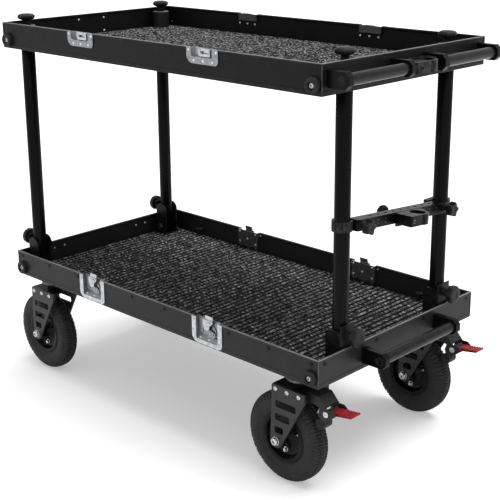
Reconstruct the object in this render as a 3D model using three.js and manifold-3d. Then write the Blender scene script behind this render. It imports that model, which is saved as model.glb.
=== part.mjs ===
import * as THREE from 'three';
import { mergeVertices } from 'three/addons/utils/BufferGeometryUtils.js';
import Module from 'manifold-3d';

// Two-deck camera cart in millimetres. Z is up, the floor is at zero, the handles are at +X
// and the near long side, with its latches, is at -Y.

const wasm = await Module();
wasm.setup();

// Clearances
const seat = 0.3;
const slip = 0.3;
const overrun = 1;
const weld = 0.0001;

// Trays
const trayLength = 1000;
const trayWidth = 527;
const trayUnderside = 253;
const trayRise = 572;
const wallHeight = 60;
const wallThickness = 3.5;
const rimWidth = 6;
const rimHeight = 4;
const grooveDepth = 1;
const grooveHeight = 1.5;
const footWidth = 7.5;
const footThickness = 2;
const wallEdge = 0.8;
const mitreGap = 0.4;
const floorThickness = 2.5;
const matThickness = 5.4;
const matMargin = 2.5;

// Rubber side bumpers
const bumperRadius = 16;
const bumperDepth = 8;
const bumperInset = 20;
const bumperHeight = 19.5;
const bumperRecessRadius = 7;
const bumperRecessDepth = 4;

// Posts
const postDiameter = 32.5;
const postWall = 2.5;
const postInsetX = 28;
const leftPostInsetY = 49.5;
const rightPostInsetY = 98;
const postTopGap = 0.5;
const postPlugHeight = 40;
const postInsertHeight = 20;

// Fold brackets
const pivotHeight = 27;
const pivotRadius = 5;
const pivotHeadRadius = 8.5;
const pivotHeadDepth = 5;
const bracketWidth = 40;
const earTop = 93;
const earThickness = 5;
const earClearance = 0.75;
const earChamfer = 9;
const bracketBase = 3.5;
const webThickness = 3;
const leftWebTop = 97;
const rightWebTop = 105;

// Pull pins
const pullPinHeight = 84;
const pullPinRadius = 4;
const pullNeckRadius = 9;
const pullNeckLength = 11;
const pullCollarRadius = 13;
const pullCollarLength = 5;
const pullDiscRadius = 20;
const pullDiscThickness = 14;
const pullDiscEdge = 3;

// Post collars and top knobs
const collarRadius = 21.5;
const collarTop = 49;
const collarWasherRadius = 19;
const collarWasherThickness = 2;
const studRadius = 5;
const topKnobRadius = 21;
const topKnobLobes = 6;
const topKnobLobeDepth = 1.6;
const topKnobThickness = 13.5;
const topKnobDome = 5.5;
const topKnobSlope = 8;
const topKnobNeckRadius = 9;
const topKnobNeckHeight = 14;

// Caster wheels
const wheelRadius = 100;
const wheelFacets = 20;
const tyreHalfWidth = 22;
const tyreTreadHalf = 14;
const tyreCrownHalf = 5.5;
const tyreShoulderDrop = 3;
const beadRadius = 50;
const beadHalfWidth = 17;
const rimFlangeRadius = 56;
const rimFlangeThickness = 1.7;
const rimBarrelRadius = 45;
const rimWebHalf = 3;
const rimFacets = 14;
const hubRadius = 20;
const hubNoseRadius = 13;
const axleRadius = 5;
const axleHeadRadius = 9;
const axleHeadDepth = 8;

// Caster forks
const casterInsetX = 85;
const casterInsetY = 45.3;
const casterTrail = 33;
const tyreClearance = 5.6;
const forkBlockHeight = 20;
const forkInnerHalf = 33;
const forkPlateThickness = 5;
const forkFront = 43;
const forkRear = 45;
const forkShoulder = 20;
const forkToeRadius = 15.5;
const forkToeTangent = Math.PI / 7;
const forkWindowCount = 3;
const forkWindowTop = 33;
const forkWindowPitch = 29.5;
const forkWindowHeight = 15;
const forkWindowRim = 11;
const forkWindowCorner = 3.5;
const neckRadius = 17;
const kingpinRadius = 7;
const kingpinLength = 12;

// Caster top plates
const casterPlateLength = 110;
const casterPlateWidth = 71;
const casterPlateThickness = 6;
const bearingRadius = 31;
const bearingHeight = 13;
const tPinX = 43;
const tPinY = 29;
const tPinTop = 31;
const tPinStemRadius = 3;
const tPinHeadRadius = 9.5;
const tPinHeadThickness = 4;

// Brakes on the two handle-end casters
const brakePinX = 85;
const brakePinDrop = 32;
const brakePinRadius = 4;
const brakePinHeadRadius = 6.5;
const brakePinHeadDepth = 2.5;
const cheekInnerHalf = 17;
const cheekThickness = 4;
const cheekKnee = 22;
const cheekEnd = 24;
const cheekEndShares = [
  [0, 0.44],
  [0.54, 0.46],
  [1, 0.12],
  [-0.12, -0.83],
  [-0.75, -0.5],
  [-0.87, -0.2],
  [-0.67, 0.33],
];
const brakeWebThickness = 4;
const brakeWebShare = 0.82;
const brakeLeverHalfWidth = 14;
const brakeHubRadius = 7.5;
const padRadius = 12;
const padGap = 2;
const padAngle = 33;
const pedalLength = 56;
const pedalTop = 8.3;
const pedalRootThickness = 10;
const pedalTipThickness = 3.5;
const pedalRidges = 5;
const pedalRidgeHeight = 1.5;

// Handles
const handleArmHeight = 33;
const handleArmThickness = 15;
const handleArmChamfer = 9;
const handleBarRadius = 12;
const upperHandleReach = 34;
const upperHandleHeight = 31.5;
const upperHandleHalf = 250;
const upperInnerArm = 47;
const lowerHandleReach = 44;
const lowerHandleHeight = 31;
const lowerHandleHalf = 131;

// Post clamp used on the upper handle and on the crossbar
const clampHeight = 22;
const clampRingThickness = 7;
const clampBoreSlip = 0.4;
const clampLeft = 48;
const clampRight = 32;
const clampBackDepth = 18;
const clampSlit = 2;
const clampTabDepth = 21;
const clampTabInner = 20;
const clampBoltRadius = 4.5;
const clampBoltProud = 2;
const clampBoltOffset = 40;
const clampBack = 20;

// Crossbar between the handle-end posts
const crossbarHeight = 294;
const crossbarDrop = 12;
const barDepth = 24;
const barHeight = 23;
const barForward = 16;
const barInset = 13;
const ringRadius = 21;
const ringHeight = 21;
const ringSlip = 0.5;
const tongueReach = 33;
const tongueThickness = 12;
const starOffset = 24.5;

// Star knobs on the crossbar clamps
const starRadius = 16.5;
const starLobes = 5;
const starLobeDepth = 3;
const starThickness = 15;
const starEdge = 2;
const starNeckRadius = 6.5;
const starNeckLength = 9;
const starWasherRadius = 10;
const starWasherThickness = 2;
const starShankRadius = 4;

// Accessory clamp on the crossbar
const accessoryInset = 151.5;
const accessoryYokeWidth = 30;
const accessoryYokeThickness = 5;
const accessoryKnobInset = 31;
const rearKnobRadius = 17;
const rearKnobThickness = 10;
const rearKnobNeckRadius = 7;
const rearKnobNeckLength = 9;
const rearKnobEdge = 3;
const rearScrewRadius = 4;

// Latches
const latchOffset = 195;
const latchWidth = 92;
const latchSheet = 2;
const dishBottom = 3;
const dishTop = 60.5;
const dishCorner = 15;
const dishPanWidth = 68;
const dishPanBottom = 13;
const dishPanTop = 51;
const dishPanDepth = 11;
const dishTabWidth = 22;
const dishTabHeight = 5;
const panSheet = 1.5;
const panClearance = 0.6;
const keeperBottom = 31;
const keeperTop = 62;
const keeperCorner = 12;
const keeperPanWidth = 66;
const keeperPanBottom = 37;
const keeperPanTop = 54;
const keeperPanDepth = 6;
const keeperNoseRadius = 6;
const keeperNoseWidth = 24;
const camRadius = 16;
const camThickness = 3;
const camWingLength = 30;
const camWingWidth = 7;
const camWingDepth = 5;
const camBossRadius = 4;

// Round facet counts
const pinFacets = 8;
const boreFacets = 12;
const knobFacets = 12;
const roundFacets = 16;
const arcSteps = 6;
const cornerSteps = 2;
const hexFacets = 6;

// Values that follow from the sizes above
const halfLength = trayLength / 2;
const halfWidth = trayWidth / 2;
const postRadius = postDiameter / 2;
const postX = halfLength - postInsetX;
const leftPostY = halfWidth - leftPostInsetY;
const rightPostY = halfWidth - rightPostInsetY;
const barHalfLength = rightPostY - barInset;
const accessoryOffset = rightPostY - accessoryInset;
const accessoryKnobOffset = accessoryOffset - accessoryKnobInset;
const floorTop = footThickness + seat + floorThickness;
const matBottom = floorTop + seat;
const matTop = matBottom + matThickness;
const pivotZ = trayUnderside + pivotHeight;
const upperUnderside = trayUnderside + trayRise;
const postTop = upperUnderside + footThickness + seat - postTopGap - pivotZ;
const earInnerHalf = postRadius + earClearance;
const earOuterHalf = earInnerHalf + earThickness;
const webInner = bracketWidth / 2 - webThickness;
const swivelX = halfLength - casterInsetX;
const swivelY = halfWidth - casterInsetY;
const axleHeight = wheelRadius * Math.cos(Math.PI / wheelFacets);
const forkBlockTop = axleHeight + wheelRadius + tyreClearance + forkBlockHeight;
const casterPlateTop = trayUnderside + footThickness;
const casterPlateBottom = casterPlateTop - casterPlateThickness;
const bearingBottom = casterPlateBottom - bearingHeight;
const forkOuterHalf = forkInnerHalf + forkPlateThickness;
const brakePinZ = forkBlockTop - brakePinDrop;
const collarWasherTop = collarTop + collarWasherThickness;
const crossbarTilt = Math.atan(crossbarDrop / (rightPostY - starOffset));
const barFace = barForward + barDepth / 2;
const barRear = barForward - barDepth / 2;
const clampRingRadius = postRadius + clampRingThickness;
const clampBoreRadius = postRadius + clampBoreSlip;
const pedalReach = brakePinX + pedalLength;
const handleReach = halfLength + lowerHandleReach + handleArmHeight / 2;
const rightReach = Math.max(swivelX + pedalReach, handleReach);
const leftReach = swivelX + casterTrail + axleHeight;
const frameShift = (leftReach - rightReach) / 2;

// Finishes
const satinBlack = { color: 0x1b1b1c, roughness: 0.42, metalness: 0.6 };
const anodised = { color: 0x161617, roughness: 0.35, metalness: 0.7 };
const mouldedBlack = { color: 0x141414, roughness: 0.6, metalness: 0 };
const rubber = { color: 0x1a1a1b, roughness: 0.85, metalness: 0 };
const carpet = { color: 0x3a3a3c, roughness: 1, metalness: 0 };
const zinc = { color: 0xc4c6c8, roughness: 0.32, metalness: 0.9 };
const redEnamel = { color: 0x8f1420, roughness: 0.4, metalness: 0.2 };

// Turns a closed geometry into a solid that can be joined and cut
function solid(geometry) {
  const bare = geometry.clone();
  bare.deleteAttribute('normal');
  bare.deleteAttribute('uv');
  const merged = mergeVertices(bare, weld);
  const places = merged.getAttribute('position').array;
  const index = merged.index.array;
  const corners = [];
  let volume = 0;
  const a = new THREE.Vector3();
  const b = new THREE.Vector3();
  const c = new THREE.Vector3();
  for (let i = 0; i < index.length; i += 3) {
    const [p, q, r] = index.slice(i, i + 3);
    if (p !== q && q !== r && r !== p) {
      corners.push(p, q, r);
      a.fromArray(places, p * 3);
      b.fromArray(places, q * 3);
      c.fromArray(places, r * 3);
      volume += a.dot(b.cross(c));
    }
  }
  if (volume < 0) {
    corners.reverse();
  }
  const mesh = new wasm.Mesh({
    numProp: 3,
    vertProperties: Float32Array.from(places),
    triVerts: Uint32Array.from(corners),
  });
  return new wasm.Manifold(mesh);
}

function join(...bodies) {
  return bodies.reduce((whole, body) => whole.add(body));
}

function cut(body, ...tools) {
  return tools.reduce((whole, tool) => whole.subtract(tool), body);
}

function geometryOf(body) {
  const mesh = body.getMesh();
  const geometry = new THREE.BufferGeometry();
  geometry.setAttribute('position', new THREE.BufferAttribute(mesh.vertProperties, 3));
  geometry.setIndex(new THREE.BufferAttribute(mesh.triVerts, 1));
  geometry.computeVertexNormals();
  return geometry;
}

// Box between two corners
function block(x0, x1, y0, y1, z0, z1) {
  const box = new THREE.BoxGeometry(x1 - x0, y1 - y0, z1 - z0);
  return solid(box.translate((x0 + x1) / 2, (y0 + y1) / 2, (z0 + z1) / 2));
}

// Round rod along an axis, from one end to the other, through a point of the other two axes
function rod(axis, radius, from, to, across, up, facets) {
  const bar = new THREE.CylinderGeometry(radius, radius, to - from, facets);
  bar.rotateY(Math.PI / facets);
  const middle = (from + to) / 2;
  if (axis === 'x') {
    bar.rotateZ(Math.PI / 2).translate(middle, across, up);
  } else if (axis === 'y') {
    bar.translate(across, middle, up);
  } else {
    bar.rotateX(Math.PI / 2).translate(across, up, middle);
  }
  return solid(bar);
}

// Turned piece: the profile holds radius and height pairs
function turned(profile, facets, axis) {
  const points = profile.map(([radius, height]) => new THREE.Vector2(radius, height));
  const lathe = new THREE.LatheGeometry(points, facets);
  if (axis === 'z') {
    lathe.rotateX(Math.PI / 2);
  } else if (axis === 'x') {
    lathe.rotateZ(-Math.PI / 2);
  }
  return lathe;
}

// Plate cut to an outline, standing in the XZ plane between two Y values
function plateAcross(shape, y0, y1) {
  const flat = new THREE.ExtrudeGeometry(shape, { depth: y1 - y0, bevelEnabled: false });
  return solid(flat.rotateX(Math.PI / 2).translate(0, y1, 0));
}

function outline(points) {
  return new THREE.Shape(points.map(([x, y]) => new THREE.Vector2(x, y)));
}

function arc(x, y, radius, from, to, steps) {
  const points = [];
  for (let i = 0; i <= steps; i += 1) {
    const angle = THREE.MathUtils.lerp(from, to, i / steps);
    points.push([x + radius * Math.cos(angle), y + radius * Math.sin(angle)]);
  }
  return points;
}

function roundedRectangle(x0, x1, y0, y1, lower, upper, steps) {
  const quarter = Math.PI / 2;
  return outline([
    ...arc(x1 - lower, y0 + lower, lower, -quarter, 0, steps),
    ...arc(x1 - upper, y1 - upper, upper, 0, quarter, steps),
    ...arc(x0 + upper, y1 - upper, upper, quarter, quarter * 2, steps),
    ...arc(x0 + lower, y0 + lower, lower, quarter * 2, quarter * 3, steps),
  ]);
}

function lobedOutline(radius, lobes, depth) {
  const steps = lobes * 3;
  const points = [];
  for (let i = 0; i < steps; i += 1) {
    const angle = Math.PI * 2 * i / steps;
    const reach = radius - depth + depth * Math.cos(angle * lobes);
    points.push([reach * Math.cos(angle), reach * Math.sin(angle)]);
  }
  return outline(points);
}

// Tray wall profile: inward distance and height, with a hollowed rim, a shadow groove and a foot
function wallProfile() {
  const rimBase = wallHeight - rimHeight;
  return outline([
    [wallEdge, 0],
    [footWidth, 0],
    [footWidth, footThickness],
    [wallThickness, footThickness],
    [wallThickness, rimBase - (rimWidth - wallThickness)],
    [rimWidth, rimBase],
    [rimWidth, wallHeight - wallEdge],
    [rimWidth - wallEdge, wallHeight],
    [wallEdge, wallHeight],
    [0, wallHeight - wallEdge],
    [0, rimBase],
    [grooveDepth, rimBase],
    [grooveDepth, rimBase - grooveHeight],
    [0, rimBase - grooveHeight],
    [0, wallEdge],
  ]);
}

// Mitred wall along X at -Y, turned about Z to its side
function trayWall(length, offset) {
  const bar = new THREE.ExtrudeGeometry(wallProfile(), { depth: 1, bevelEnabled: false });
  const places = bar.getAttribute('position');
  for (let i = 0; i < places.count; i += 1) {
    const inward = places.getX(i);
    const side = places.getZ(i) > 0 ? 1 : -1;
    const reach = length / 2 - inward - mitreGap / 2;
    places.setXYZ(i, side * reach, inward - offset, places.getY(i));
  }
  return solid(bar);
}

// Rubber bumper with its bolt recess, on the outer face of a long wall at -Y
function bumper(x) {
  const face = -halfWidth - bumperDepth;
  const body = rod('y', bumperRadius, face, overrun - halfWidth, x, bumperHeight, knobFacets);
  const recess = rod('y', bumperRecessRadius, face - overrun, face + bumperRecessDepth, x, bumperHeight, pinFacets);
  return cut(body, recess);
}

// Sheet pan with a flange plate, seen from outside at -Y
function panInSheet(flange, width, bottom, top, depth, inset) {
  const face = -halfWidth - inset;
  const inner = width / 2;
  const outer = inner + panSheet;
  const sheet = plateAcross(flange, face - latchSheet, face);
  const shell = block(-outer, outer, face - latchSheet / 2, face + depth + panSheet,
    bottom - panSheet, top + panSheet);
  const hollow = block(-inner, inner, face - latchSheet - overrun, face + depth, bottom, top);
  return cut(join(sheet, shell), hollow);
}

function latchDish(inset) {
  const half = latchWidth / 2;
  const flange = roundedRectangle(-half, half, dishBottom, dishTop, dishCorner, panSheet, cornerSteps);
  const dish = panInSheet(flange, dishPanWidth, dishPanBottom, dishPanTop, dishPanDepth, inset);
  const face = -halfWidth - inset;
  const tab = block(-dishTabWidth / 2, dishTabWidth / 2, face - latchSheet, face,
    dishTop - overrun, dishTop + dishTabHeight);
  return join(dish, tab);
}

function latchKeeper(inset) {
  const half = latchWidth / 2;
  const flange = roundedRectangle(-half, half, keeperBottom, keeperTop, keeperCorner, panSheet, cornerSteps);
  const keeper = panInSheet(flange, keeperPanWidth, keeperPanBottom, keeperPanTop, keeperPanDepth, inset);
  const face = -halfWidth - inset + keeperPanDepth;
  const middle = (keeperPanBottom + keeperPanTop) / 2;
  const nose = rod('x', keeperNoseRadius, -keeperNoseWidth / 2, keeperNoseWidth / 2, face, middle, pinFacets);
  const trimmed = cut(nose, block(-keeperNoseWidth, keeperNoseWidth,
    face + panSheet / 2, face + keeperNoseRadius * 2, keeperPanBottom, keeperPanTop));
  return join(keeper, trimmed);
}

// Butterfly turn piece of a lower latch, turning about Y inside its dish
function latchCam() {
  const face = -halfWidth - seat + dishPanDepth - seat;
  const middle = (dishPanBottom + dishPanTop) / 2;
  const disc = rod('y', camRadius, face - camThickness, face, 0, middle, knobFacets);
  const wingFace = face - camThickness - camWingDepth;
  const wing = block(-camWingLength / 2, camWingLength / 2, wingFace, face - camThickness / 2,
    middle - camWingWidth / 2, middle + camWingWidth / 2);
  const boss = rod('y', camBossRadius, wingFace - panSheet, face - camThickness, 0, middle, pinFacets);
  return join(disc, wing, boss);
}

// Floor panel between the four walls
function floorSheet() {
  const reachX = halfLength - wallThickness - seat;
  const reachY = halfWidth - wallThickness - seat;
  return block(-reachX, reachX, -reachY, reachY, footThickness + seat, floorTop);
}

function matSheet() {
  const reachX = halfLength - rimWidth - matMargin;
  const reachY = halfWidth - rimWidth - matMargin;
  return block(-reachX, reachX, -reachY, reachY, matBottom, matTop);
}

function postPlaces() {
  return [
    { name: 'near_left', x: -postX, y: -leftPostY },
    { name: 'far_left', x: -postX, y: leftPostY },
    { name: 'near_right', x: postX, y: -rightPostY },
    { name: 'far_right', x: postX, y: rightPostY },
  ];
}

function casterPlaces() {
  return [
    { name: 'near_left', x: -swivelX, y: -swivelY },
    { name: 'far_left', x: -swivelX, y: swivelY },
    { name: 'near_right', x: swivelX, y: -swivelY },
    { name: 'far_right', x: swivelX, y: swivelY },
  ];
}

// T-headed pin places: the corner of each caster plate nearest the tray's middle and outer side
function tPinPlace({ x, y }) {
  return { x: x - Math.sign(x) * tPinX, y: y + Math.sign(y) * tPinY };
}

// Upper floor with a post socket collar and washer at each post
function upperFloor() {
  const collars = postPlaces().map(({ x, y }) => solid(turned([
    [0, floorTop - floorThickness / 2],
    [collarRadius, floorTop - floorThickness / 2],
    [collarRadius, collarTop],
    [collarWasherRadius, collarTop],
    [collarWasherRadius, collarWasherTop],
    [0, collarWasherTop],
  ], knobFacets, 'z').translate(x, y, 0)));
  const bores = postPlaces().map(({ x, y }) => (
    rod('z', studRadius + slip, 0, collarWasherTop + overrun, x, y, boreFacets)));
  return cut(join(floorSheet(), ...collars), ...bores);
}

function upperMat() {
  const radius = collarRadius + overrun;
  const holes = postPlaces().map(({ x, y }) => rod('z', radius, 0, collarTop, x, y, knobFacets));
  return cut(matSheet(), ...holes);
}

function lowerFloor() {
  const holes = casterPlaces().map(tPinPlace).map(({ x, y }) => (
    rod('z', tPinStemRadius + slip, 0, floorTop + overrun, x, y, pinFacets)));
  return cut(floorSheet(), ...holes);
}

function lowerMat() {
  const pins = casterPlaces().map(tPinPlace).map(({ x, y }) => (
    rod('z', tPinStemRadius + slip, 0, matTop + overrun, x, y, pinFacets)));
  const pockets = postPlaces().map(({ x, y }) => {
    const inner = x - Math.sign(x) * (bracketWidth / 2 + matMargin);
    const outer = Math.sign(x) * halfLength;
    const reach = earOuterHalf + pivotHeadDepth + matMargin;
    return block(Math.min(inner, outer), Math.max(inner, outer), y - reach, y + reach, 0, matTop + overrun);
  });
  return cut(matSheet(), ...pins, ...pockets);
}

// Fold bracket: U of two ears and an outboard web, outboard side at +X, post axis at the origin
function foldBracket(roundTop, webTop) {
  const half = bracketWidth / 2;
  const bottom = floorTop + seat;
  const crown = roundTop
    ? arc(0, earTop - half, half, 0, Math.PI, arcSteps)
    : [[half, earTop], [earChamfer - half, earTop], [-half, earTop - earChamfer]];
  const ear = outline([[-half, bottom], [half, bottom], ...crown]);
  const nearEar = plateAcross(ear, -earOuterHalf, -earInnerHalf);
  const farEar = plateAcross(ear, earInnerHalf, earOuterHalf);
  const base = block(-half, half, -earOuterHalf, earOuterHalf, bottom, bottom + bracketBase);
  const web = block(webInner, half, -earOuterHalf, earOuterHalf, bottom, webTop);
  const pinHole = rod('x', pullPinRadius + slip, webInner - overrun, half + overrun,
    0, pullPinHeight, boreFacets);
  const bolt = rod('y', pivotRadius, -earOuterHalf, earOuterHalf, 0, pivotHeight, pinFacets);
  const headEnd = earOuterHalf + pivotHeadDepth;
  const nearHead = rod('y', pivotHeadRadius, -headEnd, -earOuterHalf, 0, pivotHeight, hexFacets);
  const farHead = rod('y', pivotHeadRadius, earOuterHalf, headEnd, 0, pivotHeight, hexFacets);
  return cut(join(nearEar, farEar, base, web, bolt, nearHead, farHead), pinHole);
}

// Post tube about its pivot: rounded heel, solid plug, hollow tube and a threaded insert on top.
// The detent hole faces outboard, at +X
function post() {
  const tube = solid(turned([
    [0, -postRadius],
    [postRadius, -postRadius],
    [postRadius, postTop],
    [studRadius + slip, postTop],
    [studRadius + slip, postTop - postInsertHeight],
    [postRadius - postWall, postTop - postInsertHeight],
    [postRadius - postWall, postPlugHeight],
    [0, postPlugHeight],
  ], roundFacets, 'z'));
  const heel = outline([
    [postDiameter, postTop + overrun],
    [-postDiameter, postTop + overrun],
    [-postDiameter, postRadius],
    ...arc(0, 0, postRadius, Math.PI, Math.PI * 2, arcSteps),
    [postDiameter, postRadius],
  ]);
  const slab = plateAcross(heel, -postDiameter, postDiameter);
  const pivotBore = rod('y', pivotRadius + slip, -postDiameter, postDiameter, 0, 0, boreFacets);
  const detent = rod('x', pullPinRadius + slip, postRadius - postWall * 2, postDiameter,
    0, pullPinHeight - pivotHeight, boreFacets);
  return cut(tube.intersect(slab), pivotBore, detent);
}

// Pull pin along X: stepped neck and a rounded grip disc, web face at the origin
function pullPin() {
  const tip = postRadius + seat - bracketWidth / 2;
  const collarStart = seat + pullNeckLength;
  const discStart = collarStart + pullCollarLength;
  const discEnd = discStart + pullDiscThickness;
  return solid(turned([
    [0, tip],
    [pullPinRadius, tip],
    [pullPinRadius, seat],
    [pullNeckRadius, seat],
    [pullNeckRadius, collarStart],
    [pullCollarRadius, collarStart],
    [pullCollarRadius, discStart],
    [pullDiscRadius - pullDiscEdge, discStart],
    [pullDiscRadius, discStart + pullDiscEdge],
    [pullDiscRadius, discEnd - pullDiscEdge],
    [pullDiscRadius - pullDiscEdge, discEnd],
    [0, discEnd],
  ], knobFacets, 'x'));
}

// Mushroom top knob on its stud, collar washer at the origin
function topKnob() {
  const tip = seat - collarWasherTop + footThickness;
  const bodyThickness = topKnobThickness - topKnobDome * 2;
  const shape = lobedOutline(topKnobRadius - topKnobSlope, topKnobLobes, topKnobLobeDepth);
  const lobed = new THREE.ExtrudeGeometry(shape, {
    depth: bodyThickness,
    bevelEnabled: true,
    bevelThickness: topKnobDome,
    bevelSize: topKnobSlope,
    bevelSegments: 1,
  }).translate(0, 0, seat + topKnobNeckHeight + topKnobDome);
  const stem = turned([
    [0, tip],
    [studRadius, tip],
    [studRadius, seat],
    [topKnobNeckRadius, seat],
    [topKnobNeckRadius, seat + topKnobNeckHeight + overrun],
    [0, seat + topKnobNeckHeight + overrun],
  ], pinFacets, 'z');
  return join(solid(lobed), solid(stem));
}

// Pneumatic tyre about its axle
function tyre() {
  const half = [
    [wheelRadius, tyreCrownHalf],
    [wheelRadius - tyreShoulderDrop, tyreTreadHalf],
    [(wheelRadius * 3 + rimFlangeRadius) / 4, tyreHalfWidth - tyreShoulderDrop],
    [(wheelRadius + rimFlangeRadius) / 2, tyreHalfWidth],
    [rimFlangeRadius + overrun, beadHalfWidth],
    [beadRadius, beadHalfWidth],
  ];
  const other = half.map(([radius, across]) => [radius, -across]).reverse();
  const ring = [...half, ...other, half[0]];
  const lathe = turned(ring, wheelFacets, 'y');
  return solid(lathe.rotateY(Math.PI / wheelFacets));
}

// Pressed wheel rim: flanges, barrel, web and hub with an axle bore
function rim() {
  const bore = axleRadius + slip;
  const flangeInner = beadHalfWidth + slip;
  const flangeOuter = flangeInner + rimFlangeThickness;
  const seatRadius = beadRadius * Math.cos(Math.PI / wheelFacets) - slip;
  const hubEnd = forkInnerHalf - seat;
  const half = [
    [bore, hubEnd],
    [hubNoseRadius, hubEnd],
    [hubRadius, rimWebHalf],
    [rimBarrelRadius, rimWebHalf],
    [rimBarrelRadius, flangeOuter],
    [rimFlangeRadius, flangeOuter],
    [rimFlangeRadius, flangeInner],
    [seatRadius, flangeInner],
  ];
  const other = half.map(([radius, across]) => [radius, -across]).reverse();
  return solid(turned([...half, ...other, half[0]], rimFacets, 'y'));
}

// Fork side plate outline about the swivel axis, with its stacked windows
function forkPlateShape() {
  const toeX = -casterTrail;
  const shape = outline([
    [-forkRear, forkBlockTop],
    [-forkRear, forkBlockTop - forkWindowTop],
    ...arc(toeX, axleHeight, forkToeRadius, Math.PI, Math.PI * 2 - forkToeTangent, arcSteps),
    [forkFront, forkBlockTop - forkShoulder],
    [forkFront, forkBlockTop],
  ]);
  const frontTop = forkBlockTop - forkShoulder;
  const rearTop = forkBlockTop - forkWindowTop;
  for (let i = 0; i < forkWindowCount; i += 1) {
    const top = rearTop - i * forkWindowPitch;
    const bottom = top - forkWindowHeight;
    const middle = (top + bottom) / 2;
    const share = (frontTop - middle) / (frontTop - axleHeight);
    const right = forkFront - (forkFront - toeX - forkToeRadius) * share - forkWindowRim;
    const rearShare = (rearTop - middle) / (rearTop - axleHeight);
    const left = -forkRear - (forkToeRadius + casterTrail - forkRear) * rearShare + forkWindowRim;
    shape.holes.push(roundedRectangle(left, right, bottom, top, forkWindowCorner, forkWindowCorner, 1));
  }
  return shape;
}

// Brake arm: two cheeks, a sloping web and the pivot pin of the pedal
function brakeArm() {
  const kneeX = forkFront + cheekKnee;
  const end = cheekEndShares.map(([x, z]) => [brakePinX + x * cheekEnd, brakePinZ + z * cheekEnd]);
  const [tipX, tipZ] = end[0];
  const webEndX = THREE.MathUtils.lerp(kneeX, tipX, brakeWebShare);
  const webEndZ = THREE.MathUtils.lerp(forkBlockTop, tipZ, brakeWebShare);
  const blockBottom = forkBlockTop - forkBlockHeight;
  const cheek = outline([
    [0, forkBlockTop],
    [kneeX, forkBlockTop],
    ...end,
    [(forkFront + kneeX) / 2, blockBottom],
    [0, blockBottom],
  ]);
  const outer = cheekInnerHalf + cheekThickness;
  const whole = plateAcross(cheek, -outer, outer);
  const inside = outline([
    [forkFront, forkBlockTop - brakeWebThickness],
    [kneeX, forkBlockTop - brakeWebThickness],
    [webEndX, webEndZ - brakeWebThickness],
    [webEndX, forkBlockTop + overrun],
    [brakePinX * 2, forkBlockTop + overrun],
    [brakePinX * 2, axleHeight],
    [forkFront, axleHeight],
  ]);
  const gap = plateAcross(inside, -cheekInnerHalf, cheekInnerHalf);
  const head = outer + brakePinHeadDepth;
  const pin = rod('y', brakePinRadius, -outer, outer, brakePinX, brakePinZ, pinFacets);
  const nearHead = rod('y', brakePinHeadRadius, -head, overrun - outer, brakePinX, brakePinZ, pinFacets);
  const farHead = rod('y', brakePinHeadRadius, outer - overrun, head, brakePinX, brakePinZ, pinFacets);
  return join(cut(whole, gap), pin, nearHead, farHead);
}

// Swivelling fork about its own axis: block, two windowed plates, kingpin and axle
function fork(withBrake) {
  const blockBottom = forkBlockTop - forkBlockHeight;
  const head = block(-forkRear, forkFront, -forkInnerHalf - overrun, forkInnerHalf + overrun, blockBottom,
    forkBlockTop - seat);
  const nearPlate = plateAcross(forkPlateShape(), -forkOuterHalf, -forkInnerHalf);
  const farPlate = plateAcross(forkPlateShape(), forkInnerHalf, forkOuterHalf);
  const neck = rod('z', neckRadius, forkBlockTop - overrun, bearingBottom - seat, 0, 0, knobFacets);
  const kingpin = rod('z', kingpinRadius, forkBlockTop, bearingBottom + kingpinLength, 0, 0, pinFacets);
  const axle = rod('y', axleRadius, -forkOuterHalf, forkOuterHalf, -casterTrail, axleHeight, pinFacets);
  const bodies = [head, nearPlate, farPlate, neck, kingpin, axle];
  for (const side of [-1, 1]) {
    const face = side * (forkOuterHalf - overrun);
    const axleEnd = side * (forkOuterHalf + axleHeadDepth);
    bodies.push(rod('y', axleHeadRadius, Math.min(face, axleEnd), Math.max(face, axleEnd),
      -casterTrail, axleHeight, pinFacets));
  }
  if (withBrake) {
    bodies.push(brakeArm());
  }
  return join(...bodies);
}

// Brake pedal, hub and tyre pad in one lever about the brake pin
function brakeLever() {
  const angle = THREE.MathUtils.degToRad(padAngle);
  const padDistance = wheelRadius + padGap + padRadius;
  const padX = padDistance * Math.cos(angle) - casterTrail - brakePinX;
  const padZ = axleHeight + padDistance * Math.sin(angle) - brakePinZ;
  const root = brakeHubRadius;
  const ridgeLength = (pedalLength - root * 2) / pedalRidges;
  const valley = pedalTop - pedalRidgeHeight;
  const points = [[root, pedalTop - pedalRootThickness], [pedalLength, pedalTop - pedalTipThickness]];
  for (let i = pedalRidges; i > 0; i -= 1) {
    const outerX = root * 2 + i * ridgeLength;
    const innerX = outerX - ridgeLength / 2;
    points.push([outerX, valley], [outerX, pedalTop], [innerX, pedalTop], [innerX, valley]);
  }
  points.push([root, valley]);
  points.push([0, brakeHubRadius]);
  points.push([0, 0]);
  const pedal = plateAcross(outline(points), -brakeLeverHalfWidth, brakeLeverHalfWidth);
  const hub = rod('y', brakeHubRadius, -brakeLeverHalfWidth, brakeLeverHalfWidth, 0, 0, pinFacets);
  const pad = rod('y', padRadius, -brakeLeverHalfWidth, brakeLeverHalfWidth, padX, padZ, knobFacets);
  const reach = Math.hypot(padX, padZ);
  const linkX = -padZ / reach * brakeHubRadius / 2;
  const linkZ = padX / reach * brakeHubRadius / 2;
  const link = plateAcross(outline([
    [linkX, linkZ],
    [padX + linkX, padZ + linkZ],
    [padX - linkX, padZ - linkZ],
    [-linkX, -linkZ],
  ]), -brakeLeverHalfWidth, brakeLeverHalfWidth);
  const boreEnd = brakeLeverHalfWidth + overrun;
  const bore = rod('y', brakePinRadius + slip, -boreEnd, boreEnd, 0, 0, boreFacets);
  return cut(join(pedal, hub, pad, link), bore);
}

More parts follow.
